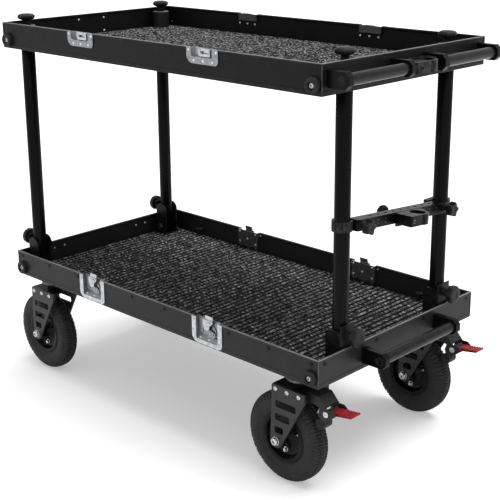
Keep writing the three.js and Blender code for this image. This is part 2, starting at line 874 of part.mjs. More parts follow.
// Caster top plate with its bearing housing and T-headed pin, about the swivel axis
function casterPlate(place) {
  const pin = tPinPlace(place);
  const pinX = pin.x - place.x;
  const pinY = pin.y - place.y;
  const halfPlate = casterPlateLength / 2;
  const sheet = block(-halfPlate, halfPlate, -casterPlateWidth / 2, casterPlateWidth / 2,
    casterPlateBottom, casterPlateTop);
  const housing = rod('z', bearingRadius, bearingBottom, casterPlateBottom + overrun, 0, 0, roundFacets);
  const pinTop = trayUnderside + tPinTop;
  const stem = rod('z', tPinStemRadius, casterPlateTop - overrun, pinTop, pinX, pinY, hexFacets);
  const head = rod('z', tPinHeadRadius, pinTop - tPinHeadThickness, pinTop, pinX, pinY, knobFacets);
  const kingpinBore = rod('z', kingpinRadius + slip,
    bearingBottom - overrun, bearingBottom + kingpinLength + seat, 0, 0, boreFacets);
  return cut(join(sheet, housing, stem, head), kingpinBore);
}

// Handle arm with an octagonal outer end, from the tray wall outwards, between two Y values
function handleArm(reach, height, y0, y1) {
  const half = handleArmHeight / 2;
  const front = reach + half;
  const start = halfLength + seat;
  return plateAcross(outline([
    [start, height - half],
    [halfLength + front - handleArmChamfer, height - half],
    [halfLength + front, height - half + handleArmChamfer],
    [halfLength + front, height + half - handleArmChamfer],
    [halfLength + front - handleArmChamfer, height + half],
    [start, height + half],
  ]), y0, y1);
}

function handleBar(reach, height, y0, y1) {
  return rod('y', handleBarRadius, y0, y1, halfLength + reach, height, knobFacets);
}

function lowerHandle() {
  const inner = lowerHandleHalf - handleArmThickness;
  return join(
    handleArm(lowerHandleReach, lowerHandleHeight, -lowerHandleHalf, -inner),
    handleArm(lowerHandleReach, lowerHandleHeight, inner, lowerHandleHalf),
    handleBar(lowerHandleReach, lowerHandleHeight, -inner - overrun, inner + overrun),
  );
}

// Split post clamp: flat back, ring round the bore, slit tab and bolt. Bore axis at the origin
function postClamp(back, left, right) {
  const bottom = -clampHeight / 2;
  const top = clampHeight / 2;
  const backInner = clampSlit - back;
  const tabOuter = clampTabDepth;
  const body = block(-back, Math.max(backInner, -clampSlit), -left, right, bottom, top);
  const ring = rod('z', clampRingRadius, bottom, top, 0, 0, roundFacets);
  const tab = block(0, tabOuter, -clampLeft, -clampTabInner / 2, bottom, top);
  const bore = rod('z', clampBoreRadius, bottom - overrun, top + overrun, 0, 0, roundFacets);
  const behind = block(-back - clampRingRadius, -back, -clampRingRadius, clampRingRadius,
    bottom - overrun, top + overrun);
  const slit = block(-clampSlit, 0, -clampLeft - overrun, -clampBoreRadius + overrun,
    bottom - overrun, top + overrun);
  const bolt = rod('x', clampBoltRadius, -clampBackDepth / 2, tabOuter + clampBoltProud,
    -clampBoltOffset, 0, pinFacets);
  return join(cut(join(body, ring, tab), behind, bore, slit), bolt);
}

function upperHandle() {
  const inner = upperHandleHalf - handleArmThickness;
  const second = upperInnerArm + handleArmThickness;
  const boreX = halfLength + clampBack + seat + clampTabDepth / 2;
  const boreY = (clampLeft - clampRight) / 2;
  const back = boreX - halfLength - seat;
  const clamp = postClamp(back, upperInnerArm + overrun + boreY, upperInnerArm + overrun - boreY)
    .translate([boreX, boreY, upperHandleHeight]);
  const bodies = [clamp];
  for (const side of [-1, 1]) {
    const span = (a, b) => [Math.min(side * a, side * b), Math.max(side * a, side * b)];
    bodies.push(handleArm(upperHandleReach, upperHandleHeight, ...span(inner, upperHandleHalf)));
    bodies.push(handleArm(upperHandleReach, upperHandleHeight, ...span(upperInnerArm, second)));
    bodies.push(handleBar(upperHandleReach, upperHandleHeight, ...span(second - overrun, inner + overrun)));
  }
  return join(...bodies);
}

// Crossbar in front of the posts, with a ring round each post and a rear tongue that the star
// knob draws in. Post axes at x = 0, middle of the bar's length at y = 0
function crossbar() {
  const bar = block(barRear, barFace, -barHalfLength, barHalfLength, -barHeight / 2, barHeight / 2);
  let whole = bar.rotate([-THREE.MathUtils.radToDeg(crossbarTilt), 0, 0]);
  for (const side of [-1, 1]) {
    const z = -side * crossbarDrop;
    const y = side * rightPostY;
    const low = z - ringHeight / 2;
    const high = z + ringHeight / 2;
    const tip = side * (rightPostY - tongueReach);
    const ring = rod('z', ringRadius, low, high, 0, y, roundFacets);
    const tongue = block(-ringRadius, tongueThickness - ringRadius, Math.min(tip, y), Math.max(tip, y), low, high);
    const bore = rod('z', postRadius + ringSlip, low - barHeight, high + barHeight, 0, y, roundFacets);
    const screwHole = rod('x', starShankRadius + slip, -ringRadius - overrun, barFace + overrun,
      side * (rightPostY - starOffset), z, boreFacets);
    whole = cut(join(whole, ring, tongue), bore, screwHole);
  }
  return whole;
}

// Star knob with its washer and shank, clamp face at the origin, pointing along +X
function starKnob() {
  const start = seat + starWasherThickness + starNeckLength;
  const head = new THREE.ExtrudeGeometry(lobedOutline(starRadius - starEdge, starLobes, starLobeDepth), {
    depth: starThickness - starEdge * 2,
    bevelEnabled: true,
    bevelThickness: starEdge,
    bevelSize: starEdge,
    bevelSegments: 1,
  }).rotateY(Math.PI / 2).translate(start + starEdge, 0, 0);
  const shankEnd = seat - barFace - ringRadius;
  const stem = turned([
    [0, shankEnd],
    [starShankRadius, shankEnd],
    [starShankRadius, seat],
    [starWasherRadius, seat],
    [starWasherRadius, seat + starWasherThickness],
    [starNeckRadius, seat + starWasherThickness],
    [starNeckRadius, start + overrun],
    [0, start + overrun],
  ], pinFacets, 'x');
  return join(solid(head), solid(stem));
}

// Accessory clamp: post clamp on the bar's front, with a yoke under and behind the bar
function accessoryClamp() {
  const face = barFace + seat;
  const rear = barRear - seat;
  const boreX = face + clampBack;
  const clamp = postClamp(clampBack, clampLeft, clampRight).translate([boreX, accessoryOffset, 0]);
  const under = -barHeight / 2 - seat;
  const y0 = accessoryKnobOffset - accessoryYokeWidth / 2;
  const y1 = accessoryKnobOffset + accessoryYokeWidth / 2;
  const back = rear - accessoryYokeThickness;
  const floor = block(back, face + overrun, y0, y1, under - accessoryYokeThickness, under);
  const wall = block(back, rear, y0, y1, under - accessoryYokeThickness, barHeight / 2);
  const riser = block(face, face + accessoryYokeThickness, y0, y1,
    under - accessoryYokeThickness, overrun - clampHeight / 2);
  const bore = rod('x', rearScrewRadius + slip, back - overrun, rear + overrun,
    accessoryKnobOffset, 0, boreFacets);
  return cut(join(clamp, floor, wall, riser), bore);
}

// Rear clamp knob pointing along -X, yoke face at the origin
function rearKnob() {
  const neck = seat + rearKnobNeckLength;
  const end = neck + rearKnobThickness;
  const screwTip = -accessoryYokeThickness;
  return solid(turned([
    [0, screwTip],
    [rearScrewRadius, screwTip],
    [rearScrewRadius, seat],
    [rearKnobNeckRadius, seat],
    [rearKnobNeckRadius, neck],
    [rearKnobRadius - rearKnobEdge, neck],
    [rearKnobRadius, neck + rearKnobEdge],
    [rearKnobRadius, end - rearKnobEdge],
    [rearKnobRadius - rearKnobEdge, end],
    [0, end],
  ], knobFacets, 'x').rotateZ(Math.PI));
}

// Assembly
const cart = new THREE.Group();
cart.position.x = frameShift;

function add(parent, name, body, finish) {
  const mesh = new THREE.Mesh(geometryOf(body), new THREE.MeshStandardMaterial(finish));
  mesh.name = name;
  parent.add(mesh);
  return mesh;
}

function groupAt(parent, x, y, z) {
  const group = new THREE.Group();
  group.position.set(x, y, z);
  parent.add(group);
  return group;
}

// Lower tray
const lowerTray = groupAt(cart, 0, 0, trayUnderside);
const panOuter = dishPanWidth / 2 + panSheet + panClearance;
const dishHole = [-halfWidth - overrun, footWidth * 2 - halfWidth,
  dishPanBottom - panSheet - panClearance, dishPanTop + panSheet + panClearance];
const bumperX = halfLength - bumperInset;
const longWall = join(trayWall(trayLength, halfWidth), bumper(-bumperX), bumper(bumperX));

function withOpenings(wall, reach, [y0, y1, z0, z1]) {
  return cut(wall,
    block(-latchOffset - reach, reach - latchOffset, y0, y1, z0, z1),
    block(latchOffset - reach, latchOffset + reach, y0, y1, z0, z1));
}

const lowerLongWall = withOpenings(longWall, panOuter, dishHole);
const fusedDish = latchDish(-seat);
const lowerFarWall = join(lowerLongWall, fusedDish.translate([-latchOffset, 0, 0]),
  fusedDish.translate([latchOffset, 0, 0]));
const endWall = trayWall(trayWidth, halfLength);
add(lowerTray, 'lower_wall_near', lowerLongWall, satinBlack);
add(lowerTray, 'lower_wall_far', lowerFarWall, satinBlack).rotation.z = Math.PI;
add(lowerTray, 'lower_wall_left', endWall, satinBlack).rotation.z = -Math.PI / 2;
add(lowerTray, 'lower_wall_right', endWall, satinBlack).rotation.z = Math.PI / 2;
add(lowerTray, 'lower_floor', lowerFloor(), satinBlack);
add(lowerTray, 'lower_mat', lowerMat(), carpet);
add(lowerTray, 'lower_handle', lowerHandle(), anodised);
for (const [name, x] of [['left', -latchOffset], ['right', latchOffset]]) {
  const latch = groupAt(lowerTray, x, 0, 0);
  add(latch, `latch_dish_${name}`, latchDish(seat), zinc);
  add(latch, `latch_cam_${name}`, latchCam(), zinc);
}

// Upper tray
const upperTray = groupAt(cart, 0, 0, upperUnderside);
const keeperOuter = keeperPanWidth / 2 + panSheet + panClearance;
const keeperHole = [-halfWidth - overrun, footWidth * 2 - halfWidth,
  keeperPanBottom - panSheet - panClearance, keeperPanTop + panSheet + panClearance];
const upperLongWall = withOpenings(longWall, keeperOuter, keeperHole);
const fusedKeeper = latchKeeper(-seat);
const upperFarWall = join(upperLongWall, fusedKeeper.translate([-latchOffset, 0, 0]),
  fusedKeeper.translate([latchOffset, 0, 0]));
add(upperTray, 'upper_wall_near', upperLongWall, satinBlack);
add(upperTray, 'upper_wall_far', upperFarWall, satinBlack).rotation.z = Math.PI;
add(upperTray, 'upper_wall_left', endWall, satinBlack).rotation.z = -Math.PI / 2;
add(upperTray, 'upper_wall_right', endWall, satinBlack).rotation.z = Math.PI / 2;
add(upperTray, 'upper_floor', upperFloor(), satinBlack);
add(upperTray, 'upper_mat', upperMat(), carpet);
add(upperTray, 'upper_handle', upperHandle(), anodised);
for (const [name, x] of [['left', -latchOffset], ['right', latchOffset]]) {
  add(groupAt(upperTray, x, 0, 0), `latch_keeper_${name}`, latchKeeper(seat), zinc);
}

// Posts, fold brackets, pull pins and top knobs
for (const { name, x, y } of postPlaces()) {
  const left = x < 0;
  const foot = groupAt(cart, x, y, trayUnderside);
  foot.rotation.z = left ? Math.PI : 0;
  add(foot, `bracket_${name}`, foldBracket(left, left ? leftWebTop : rightWebTop), satinBlack);
  add(groupAt(foot, bracketWidth / 2, 0, pullPinHeight), `pull_pin_${name}`, pullPin(), mouldedBlack);
  add(groupAt(foot, 0, 0, pivotHeight), `post_${name}`, post(), anodised);
  add(groupAt(cart, x, y, upperUnderside + collarWasherTop), `top_knob_${name}`, topKnob(), mouldedBlack);
}

// Crossbar and what it carries
const rail = groupAt(cart, postX, 0, trayUnderside + crossbarHeight);
add(rail, 'crossbar', crossbar(), anodised);
for (const [name, side] of [['near', -1], ['far', 1]]) {
  const clampFace = groupAt(rail, barFace, side * (rightPostY - starOffset), -side * crossbarDrop);
  add(clampFace, `star_knob_${name}`, starKnob(), mouldedBlack);
}
const tilted = groupAt(rail, 0, 0, 0);
tilted.rotation.x = -crossbarTilt;
add(tilted, 'accessory_clamp', accessoryClamp(), anodised);
const rearFace = barRear - seat - accessoryYokeThickness;
add(groupAt(tilted, rearFace, accessoryKnobOffset, 0), 'accessory_knob', rearKnob(), mouldedBlack);

// Casters
for (const place of casterPlaces()) {
  const braked = place.x > 0;
  const caster = groupAt(cart, place.x, place.y, 0);
  add(caster, `caster_plate_${place.name}`, casterPlate(place), satinBlack);
  add(caster, `fork_${place.name}`, fork(braked), satinBlack);
  const wheel = groupAt(caster, -casterTrail, 0, axleHeight);
  add(wheel, `rim_${place.name}`, rim(), satinBlack);
  add(wheel, `tyre_${place.name}`, tyre(), rubber);
  if (braked) {
    add(groupAt(caster, brakePinX, 0, brakePinZ), `brake_lever_${place.name}`, brakeLever(), redEnamel);
  }
}

export default cart;
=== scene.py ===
from math import atan, copysign, cos, degrees, hypot, pi, radians, sin, sqrt, tau

import bmesh
import bpy
from mathutils import Matrix, Vector, noise


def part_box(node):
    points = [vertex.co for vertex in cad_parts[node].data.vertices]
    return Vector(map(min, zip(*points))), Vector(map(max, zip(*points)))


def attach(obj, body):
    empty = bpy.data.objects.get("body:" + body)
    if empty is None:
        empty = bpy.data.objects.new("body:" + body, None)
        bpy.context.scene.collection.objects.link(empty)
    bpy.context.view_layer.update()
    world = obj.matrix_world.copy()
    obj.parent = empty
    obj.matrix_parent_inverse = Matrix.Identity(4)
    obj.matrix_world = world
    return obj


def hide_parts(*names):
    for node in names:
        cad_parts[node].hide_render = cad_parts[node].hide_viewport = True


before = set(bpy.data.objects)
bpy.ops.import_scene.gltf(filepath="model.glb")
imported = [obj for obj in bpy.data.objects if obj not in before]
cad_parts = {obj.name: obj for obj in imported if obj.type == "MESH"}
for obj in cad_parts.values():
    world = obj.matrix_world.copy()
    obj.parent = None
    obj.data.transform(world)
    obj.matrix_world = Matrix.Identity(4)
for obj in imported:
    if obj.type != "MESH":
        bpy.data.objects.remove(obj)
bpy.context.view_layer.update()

# Sizes in millimetres, about the trays' middle, as in the CAD source
MM = 0.001
HALF_LENGTH, HALF_WIDTH = 500.0, 263.5
LOWER, UPPER = 253.0, 825.0  # undersides of the decks
SHEET = 3.5
RIB_PITCH = 15.6
POST_X, LEFT_Y, RIGHT_Y = 472.0, 214.0, 165.5
POST_R = 16.25
PIVOT_UP, PIN_UP = 27.0, 84.0  # over the lower deck
KNOB_UP = 51.0  # over the upper deck
TYRE_R, AXLE_Z = 100.0, 98.7688
FORK_TOP = AXLE_Z + 125.6
BLOCK_BOTTOM = FORK_TOP - 20
PLATE_TOP = 255.0
BEARING_BOTTOM = 236.0
TRAIL = 33.0
RAIL_Z = 547.0
TILT = atan(12 / 141)
PEDAL_X, PEDAL_Z = 85.0, FORK_TOP - 32
DECKS = {"lower": ("base", LOWER), "upper": ("upper_tray", UPPER)}
LATCHES = (("left", -195.0), ("right", 195.0))
POSTS = {"near_left": (-POST_X, -LEFT_Y), "far_left": (-POST_X, LEFT_Y),
         "near_right": (POST_X, -RIGHT_Y), "far_right": (POST_X, RIGHT_Y)}
CASTERS = {name: (copysign(415, x), copysign(218.2, y)) for name, (x, y) in POSTS.items()}

wall_low, wall_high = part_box("lower_wall_near")
MIDDLE_X = (wall_low.x + wall_high.x) / 2


def shift(x=0.0, y=0.0, z=0.0):
    return Matrix.Translation((x, y, z))


def turn(angle, axis="Z"):
    return Matrix.Rotation(radians(angle), 4, axis)


# ---- materials

def grey(level, blue=None):
    return level, level, level if blue is None else blue


class Nodes:
    """Adds shader nodes to a tree."""

    def __init__(self, tree):
        self.tree = tree

    def node(self, kind, settings=None, **inputs):
        made = self.tree.nodes.new("ShaderNode" + kind)
        for key, value in (settings or {}).items():
            setattr(made, key, value)
        for key, value in inputs.items():
            self.link(value, made.inputs[key.replace("_", " ")])
        return made

    def link(self, value, socket):
        if isinstance(value, bpy.types.NodeSocket):
            self.tree.links.new(value, socket)
        else:
            socket.default_value = value

    def math(self, operation, a, b=0.0):
        made = self.node("Math", {"operation": operation})
        self.link(a, made.inputs[0])
        self.link(b, made.inputs[1])
        return made.outputs[0]

    def seen(self):
        """1 for the rays of the camera, mirrors and glass, 0 for diffuse light."""
        rays = self.node("LightPath").outputs
        mirrored = self.math("MAXIMUM", rays["Is Glossy Ray"], rays["Is Transmission Ray"])
        return self.math("MAXIMUM", rays["Is Camera Ray"], mirrored)


class Finish(Nodes):
    """A procedural material on object coordinates in metres."""

    def __init__(self, name, colour, rough, metal=0.0, specular=0.5):
        self.material = bpy.data.materials.new(name)
        self.material.use_nodes = True
        super().__init__(self.material.node_tree)
        self.shader = self.tree.nodes["Principled BSDF"]
        self.set("Base Color", (*colour, 1))
        self.set("Roughness", rough)
        self.set("Metallic", metal)
        self.set("Specular IOR Level", specular)
        self.material.diffuse_color = (*colour, 1)
        self.place = self.node("TexCoord").outputs["Object"]
        self.height = None

    def set(self, socket, value):
        self.link(value, self.shader.inputs[socket])

    def mapped(self, stretch):
        return self.node("Mapping", Vector=self.place, Scale=stretch).outputs[0]

    def noise(self, scale, detail=3.0, rough=0.5, stretch=(1, 1, 1)):
        settings = {"Scale": scale, "Detail": detail, "Roughness": rough}
        return self.node("TexNoise", Vector=self.mapped(stretch), **settings).outputs["Fac"]

    def cells(self, scale, stretch=(1, 1, 1)):
        return self.node("TexVoronoi", Vector=self.mapped(stretch), Scale=scale)

    def ramp(self, fac, *stops):
        made = self.node("ValToRGB", Fac=fac)
        ramp = made.color_ramp
        while len(ramp.elements) < len(stops):
            ramp.elements.new(0.5)
        for element, (at, value) in zip(ramp.elements, stops):
            element.position = at
            element.color = (value, value, value, 1)
        return made.outputs["Color"]

    def patches(self, scale, detail=4, low=0.35, high=0.7, rough=0.5):
        """Soft patches of noise."""
        return self.ramp(self.noise(scale, detail, rough), (low, 0.0), (high, 1.0))

    def blend(self, fac, a, b, mode="MIX"):
        made = self.node("Mix", {"data_type": "RGBA", "blend_type": mode})
        for socket, value in zip((made.inputs[0], made.inputs[6], made.inputs[7]), (fac, a, b)):
            self.link(value if not isinstance(value, tuple) else (*value, 1), socket)
        return made.outputs[2]

    def colour(self, socket):
        self.set("Base Color", socket)

    def rough(self, fac, low, high):
        self.set("Roughness", self.node("MapRange", Value=fac, To_Min=low, To_Max=high).outputs[0])

    def bump(self, height, distance, strength=1.0):
        made = self.node("Bump", Height=height, Distance=distance, Strength=strength)
        if self.height:
            self.link(self.height, made.inputs["Normal"])
        self.height = made.outputs[0]
        self.set("Normal", self.height)

    def edge_highlight(self, colour, light, low=0.52, high=0.6, amount=0.35):
        """Painted highlight on convex edges, broken up by noise."""
        edge = self.ramp(self.node("NewGeometry").outputs["Pointiness"], (low, 0.0), (high, 1.0))
        patchy = self.math("MULTIPLY", edge, self.patches(90, 4, 0.4, 0.65))
        return self.blend(self.math("MULTIPLY", patchy, amount), colour, light)


def powder_coat(name, dark, light, rough=0.42, specular=0.2):
    """Fine-textured satin powder coat, with a painted highlight on its edges."""
    f = Finish(name, dark, rough, specular=specular)
    f.colour(f.edge_highlight(f.blend(f.patches(26), dark, light), grey(0.06, 0.062)))
    f.rough(f.noise(60, 3), rough - 0.05, rough + 0.07)
    f.bump(f.noise(1500, 2, 0.6), 0.00006, 0.35)
    return f.material


def anodised(name, stretch, dark, rough, specular):
    """Black anodised aluminium with a faint drawn grain along its length, and a painted highlight on its edges."""
    f = Finish(name, dark, rough, specular=specular)
    grain = f.noise(1.0, 3, 0.6, stretch)
    drawn = f.blend(f.ramp(grain, (0.3, 0.0), (0.75, 1.0)), dark, tuple(c * 1.9 for c in dark))
    f.colour(f.edge_highlight(drawn, grey(0.08, 0.082), 0.58, 0.68, 0.4))
    f.rough(grain, rough - 0.05, rough + 0.08)
    f.bump(grain, 0.00002, 0.3)
    return f.material


def moulded(name, dark=grey(0.006, 0.0062), light=grey(0.01, 0.0105), rough=0.42):
    """Moulded black plastic with a spark-eroded grain, and a painted highlight on its edges."""
    f = Finish(name, dark, rough, specular=0.16)
    f.colour(f.edge_highlight(f.blend(f.patches(120, 3), dark, light), grey(0.06)))
    f.rough(f.noise(400, 2), rough - 0.06, rough + 0.08)
    f.bump(f.noise(2200, 2, 0.7), 0.00008, 0.5)
    return f.material


def plated(name, colour, shade, rough, scale=160, metal=1.0):
    """Zinc plate with soft mottling and fine scratches."""
    f = Finish(name, colour, rough, metal)
    mottled = f.blend(f.patches(scale, 4, 0.3, 0.7, 0.6), colour, shade)
    scratches = f.ramp(f.noise(1.0, 2, 0.5, (2600, 2600, 180)), (0.62, 0.0), (0.68, 1.0))
    f.colour(f.blend(f.math("MULTIPLY", scratches, 0.22), mottled, grey(0.95)))
    f.rough(f.noise(scale * 2, 3), rough - 0.08, rough + 0.14)
    f.bump(f.noise(700, 3), 0.00005, 0.3)
    return f.material


def enamel():
    """Red painted pedal, in patches of darker and lighter red, with a painted highlight on its edges."""
    f = Finish("red_enamel", (0.25, 0.004, 0.011), 0.4, specular=0.15)
    red = f.blend(f.patches(70), (0.19, 0.003, 0.008), (0.3, 0.006, 0.014))
    f.colour(f.edge_highlight(red, (0.5, 0.1, 0.11), 0.53, 0.62, 0.5))
    f.rough(f.noise(150, 3), 0.3, 0.46)
    f.bump(f.noise(900, 2), 0.00006, 0.4)
    return f.material


def tyre_rubber():
    """Tyre rubber, dusty in patches."""
    f = Finish("tyre_rubber", grey(0.02, 0.0205), 0.55, specular=0.22)
    dust = f.patches(38, 5, 0.42, 0.75, 0.6)
    f.colour(f.blend(f.math("MULTIPLY", dust, 0.5), grey(0.017, 0.0175), grey(0.036)))
    f.rough(f.noise(90, 3), 0.5, 0.72)
    f.bump(f.noise(1300, 3, 0.6), 0.00012, 0.5)
    return f.material


def carpet(name, ribbed):
    """Loop-pile carpet: dark loops with lighter heather yarns, and painted shade at the edges of the loops."""
    f = Finish(name, grey(0.03, 0.031), 0.95, specular=0.04)
    if ribbed:
        loops = f.cells(250, (0.5, 1, 1))
        tones = (0.0, 0.07), (0.35, 0.17), (0.7, 0.42), (1.0, 1.0)
    else:
        loops = f.cells(240)
        tones = (0.0, 0.004), (0.4, 0.03), (0.65, 0.22), (1.0, 0.8)
    tone = f.ramp(f.node("SeparateColor", Color=loops.outputs["Color"]).outputs[0], *tones)
    # Lighter at each loop's middle and darker at its edge: painted shade between the loops.
    crown = f.ramp(loops.outputs["Distance"], (0.1, 1.0), (0.75, 0.12))
    yarn = f.ramp(f.noise(1400, 3, 0.7), (0.3, 0.55), (0.75, 1.3))
    shade = f.blend(1.0, f.blend(1.0, tone, crown, "MULTIPLY"), yarn, "MULTIPLY")
    # Darker in the troughs between the ribs: painted shade.
    if ribbed:
        along = f.node("SeparateXYZ", Vector=f.place).outputs["X"]
        rib = f.math("ABSOLUTE", f.math("SINE", f.math("MULTIPLY", along, pi / (RIB_PITCH * MM))))
        shade = f.blend(1.0, shade, f.ramp(rib, (0.42, 0.02), (0.8, 1.0)), "MULTIPLY")
    f.colour(f.blend(0.08, shade, f.ramp(f.noise(14, 3), (0.35, 0.008), (0.7, 0.03))))
    f.bump(f.math("SUBTRACT", 1.0, loops.outputs["Distance"]), 0.0022, 0.9)
    f.bump(f.noise(1800, 2, 0.7), 0.0005, 0.5)
    return f.material


upper_coat = powder_coat("upper_coat", grey(0.005, 0.0053), grey(0.0075, 0.008), 0.46, 0.12)
# The lower trays' coat is a lighter copy of the same black coat: painted light on the lower tray.
lower_coat = powder_coat("lower_coat", grey(0.011, 0.0112), grey(0.0155, 0.016), 0.46)
# Light grey for the strips on the tray rims and the collar rings' tops: a painted highlight.
highlight_coat = powder_coat("highlight_coat", grey(0.14, 0.142), grey(0.22, 0.222), 0.4, 0.4)
# Lighter grey on the trays' corner seams: a painted highlight down each corner.
seam_highlight_coat = powder_coat("seam_highlight_coat", grey(0.035, 0.036), grey(0.06, 0.061), 0.4, 0.4)
steel_coat = powder_coat("steel_coat", grey(0.024, 0.0245), grey(0.033, 0.034), 0.44, 0.25)
bracket_coat = powder_coat("bracket_coat", grey(0.004), grey(0.007), 0.4, 0.1)
floor_coat = powder_coat("floor_coat", grey(0.01), grey(0.015), 0.5)
arm_coat = powder_coat("arm_coat", grey(0.01, 0.0102), grey(0.015, 0.0155), 0.4)
rim_gloss = powder_coat("rim_gloss", grey(0.003), grey(0.006), 0.26, 0.1)
# Near-black for the lower walls' screw heads: painted shade in their sockets.
recess_shade = powder_coat("recess_shade", grey(0.0008), grey(0.0015), 0.6, 0.02)
post_metal = anodised("post_metal", (900, 900, 14), grey(0.0015, 0.0016), 0.26, 0.08)
bar_metal = anodised("bar_metal", (900, 14, 900), grey(0.003, 0.0032), 0.24, 0.16)
rail_metal = anodised("rail_metal", (900, 14, 900), grey(0.0025, 0.0026), 0.28, 0.08)
knob_plastic = moulded("knob_plastic")
cap_plastic = moulded("cap_plastic", grey(0.003), grey(0.006), 0.38)
bumper_rubber = moulded("bumper_rubber", grey(0.009), grey(0.015), 0.5)
zinc = plated("zinc_plate", (0.56, 0.57, 0.58), (0.3, 0.305, 0.31), 0.3)
grey_zinc = plated("grey_zinc", (0.3, 0.305, 0.31), (0.19, 0.193, 0.197), 0.4)
# Near-white and only partly metallic, so the rivets carry a painted highlight.
rivet_glint_zinc = plated("rivet_glint_zinc", grey(0.85), grey(0.68), 0.4, metal=0.3)
keeper_zinc = plated("keeper_zinc", (0.44, 0.445, 0.45), (0.26, 0.265, 0.27), 0.34)
# A darker zinc; on the far latches it stands for painted shade.
dark_zinc = plated("dark_zinc", grey(0.12, 0.124), grey(0.07, 0.073), 0.42)
bright = plated("bright_bolt", (0.62, 0.625, 0.63), (0.34, 0.345, 0.35), 0.2, 400)
COATS = {"lower": lower_coat, "upper": upper_coat}
# The lower walls' screws are near-black: painted shade.
SCREW_MATERIALS = {"lower": recess_shade, "upper": cap_plastic}
red_enamel = enamel()
rubber = tyre_rubber()
upper_carpet = carpet("loop_carpet", False)
lower_carpet = carpet("ribbed_carpet", True)


# ---- shapes: (points, faces) in millimetres

def flat(axis, u, v, along):
    return {"x": (along, u, v), "y": (u, along, v), "z": (u, v, along)}[axis]


def spin(axis, radius, angle, along):
    return flat(axis, radius * cos(angle), radius * sin(angle), along)


def band(a, b, count):
    """The faces between two rings of points that start at a and at b."""
    return [(a + i, a + (i + 1) % count, b + (i + 1) % count, b + i) for i in range(count)]


def turned(profile, axis="z", steps=48, closed=False, lobes=0, depth=0.0):
    """Turns (radius, along) pairs about an axis; lobes press shallow hollows into the rim."""
    widest = max(radius for radius, _ in profile)
    points, faces, rings = [], [], []
    for radius, along in profile:
        count = 1 if radius < 1e-6 else steps
        rings.append(range(len(points), len(points) + count))
        for i in range(count):
            angle = tau * i / steps
            hollow = depth * (radius / widest) ** 2 * (1 - cos(lobes * angle)) / 2
            points.append(spin(axis, radius - hollow, angle, along))
    for a, b in zip(rings, rings[1:] + (rings[:1] if closed else [])):
        for i in range(steps):
            j = (i + 1) % steps
            corners = [a[i % len(a)], a[j % len(a)], b[j % len(b)], b[i % len(b)]]
            faces.append(tuple(dict.fromkeys(corners)))
    return points, faces


def plate(loops, low, high, axis="y"):
    """A flat plate between two levels on an axis: an outer loop, then its holes."""
    bm = bmesh.new()
    for loop in loops:
        corners = [bm.verts.new((u, v, 0)) for u, v in loop]
        for a, b in zip(corners, corners[1:] + corners[:1]):
            bm.edges.new((a, b))
    bm.verts.index_update()
    if len(loops) == 1:
        bm.faces.new(bm.verts)
    else:
        bmesh.ops.triangle_fill(bm, edges=bm.edges, use_beauty=True)
    caps = [tuple(v.index for v in face.verts) for face in bm.faces]
    rim = [(v.co.x, v.co.y) for v in bm.verts]
    bm.free()
    count = len(rim)
    points = [flat(axis, u, v, level) for level in (low, high) for u, v in rim]
    faces = caps + [tuple(count + i for i in reversed(cap)) for cap in caps]
    start = 0
    for loop in loops:
        faces += band(start, count + start, len(loop))
        start += len(loop)
    return points, faces


def box(x0, x1, y0, y1, z0, z1):
    return plate([[(x0, y0), (x1, y0), (x1, y1), (x0, y1)]], z0, z1, "z")


def rounded(x0, x1, y0, y1, *radii, steps=6):
    """Rounded rectangle; radii from the lower left corner, anticlockwise."""
    corners = ((x0, y0, 180), (x1, y0, 270), (x1, y1, 0), (x0, y1, 90))
    loop = []
    for (x, y, first), r in zip(corners, radii * 4 if len(radii) == 1 else radii):
        loop += arc(x + (r if x == x0 else -r), y + (r if y == y0 else -r), r, first, first + 90, steps)
    return loop


def circle(x, y, r, steps=24):
    return [(x + r * cos(tau * i / steps), y + r * sin(tau * i / steps)) for i in range(steps)]


def disc(x, y, r, low, high, axis, steps):
    return plate([circle(x, y, r, steps)], low, high, axis)


def arc(x, y, r, first, last, steps=10):
    angles = [radians(first + (last - first) * i / steps) for i in range(steps + 1)]
    return [(x + r * cos(a), y + r * sin(a)) for a in angles]


def moved(shape, place):
    return [tuple(place @ Vector(p)) for p in shape[0]], shape[1]


def joined(*shapes):
    points, faces = [], []
    for more, sides in shapes:
        start = len(points)
        points += more
        faces += [tuple(start + i for i in side) for side in sides]
    return points, faces


def mirrored(half):
    return half + [(radius, -along) for radius, along in reversed(half)]


def pair(x, y, z):
    """Two places at -y and y; the second faces the other way."""
    return [shift(x, -y, z), shift(x, y, z) @ turn(180)]


def span(side, a, b):
    return sorted((side * a, side * b))


def repeated(shape, places):
    return joined(*(moved(shape, place) for place in places))


def smooth(knots, steps=5):
    """A soft curve through the knots."""
    knots = [Vector(k) for k in (knots[0], *knots, knots[-1])]
    path = []
    for a, b, c, d in zip(knots, knots[1:], knots[2:], knots[3:]):
        for i in range(steps):
            t = i / steps
            path.append(tuple(0.5 * (2 * b + (c - a) * t + (2 * a - 5 * b + 4 * c - d) * t * t
                                     + (3 * b - a - 3 * c + d) * t ** 3)))
    return path + [tuple(knots[-1])]


def raw_mesh(name, shape):
    mesh = bpy.data.meshes.new(name)
    mesh.from_pydata(shape[0], [], shape[1])
    bm = bmesh.new()
    bm.from_mesh(mesh)
    bmesh.ops.recalc_face_normals(bm, faces=bm.faces)
    bm.to_mesh(mesh)
    bm.free()
    return mesh


def added(name, data):
    made = bpy.data.objects.new(name, data)
    bpy.context.collection.objects.link(made)
    return made


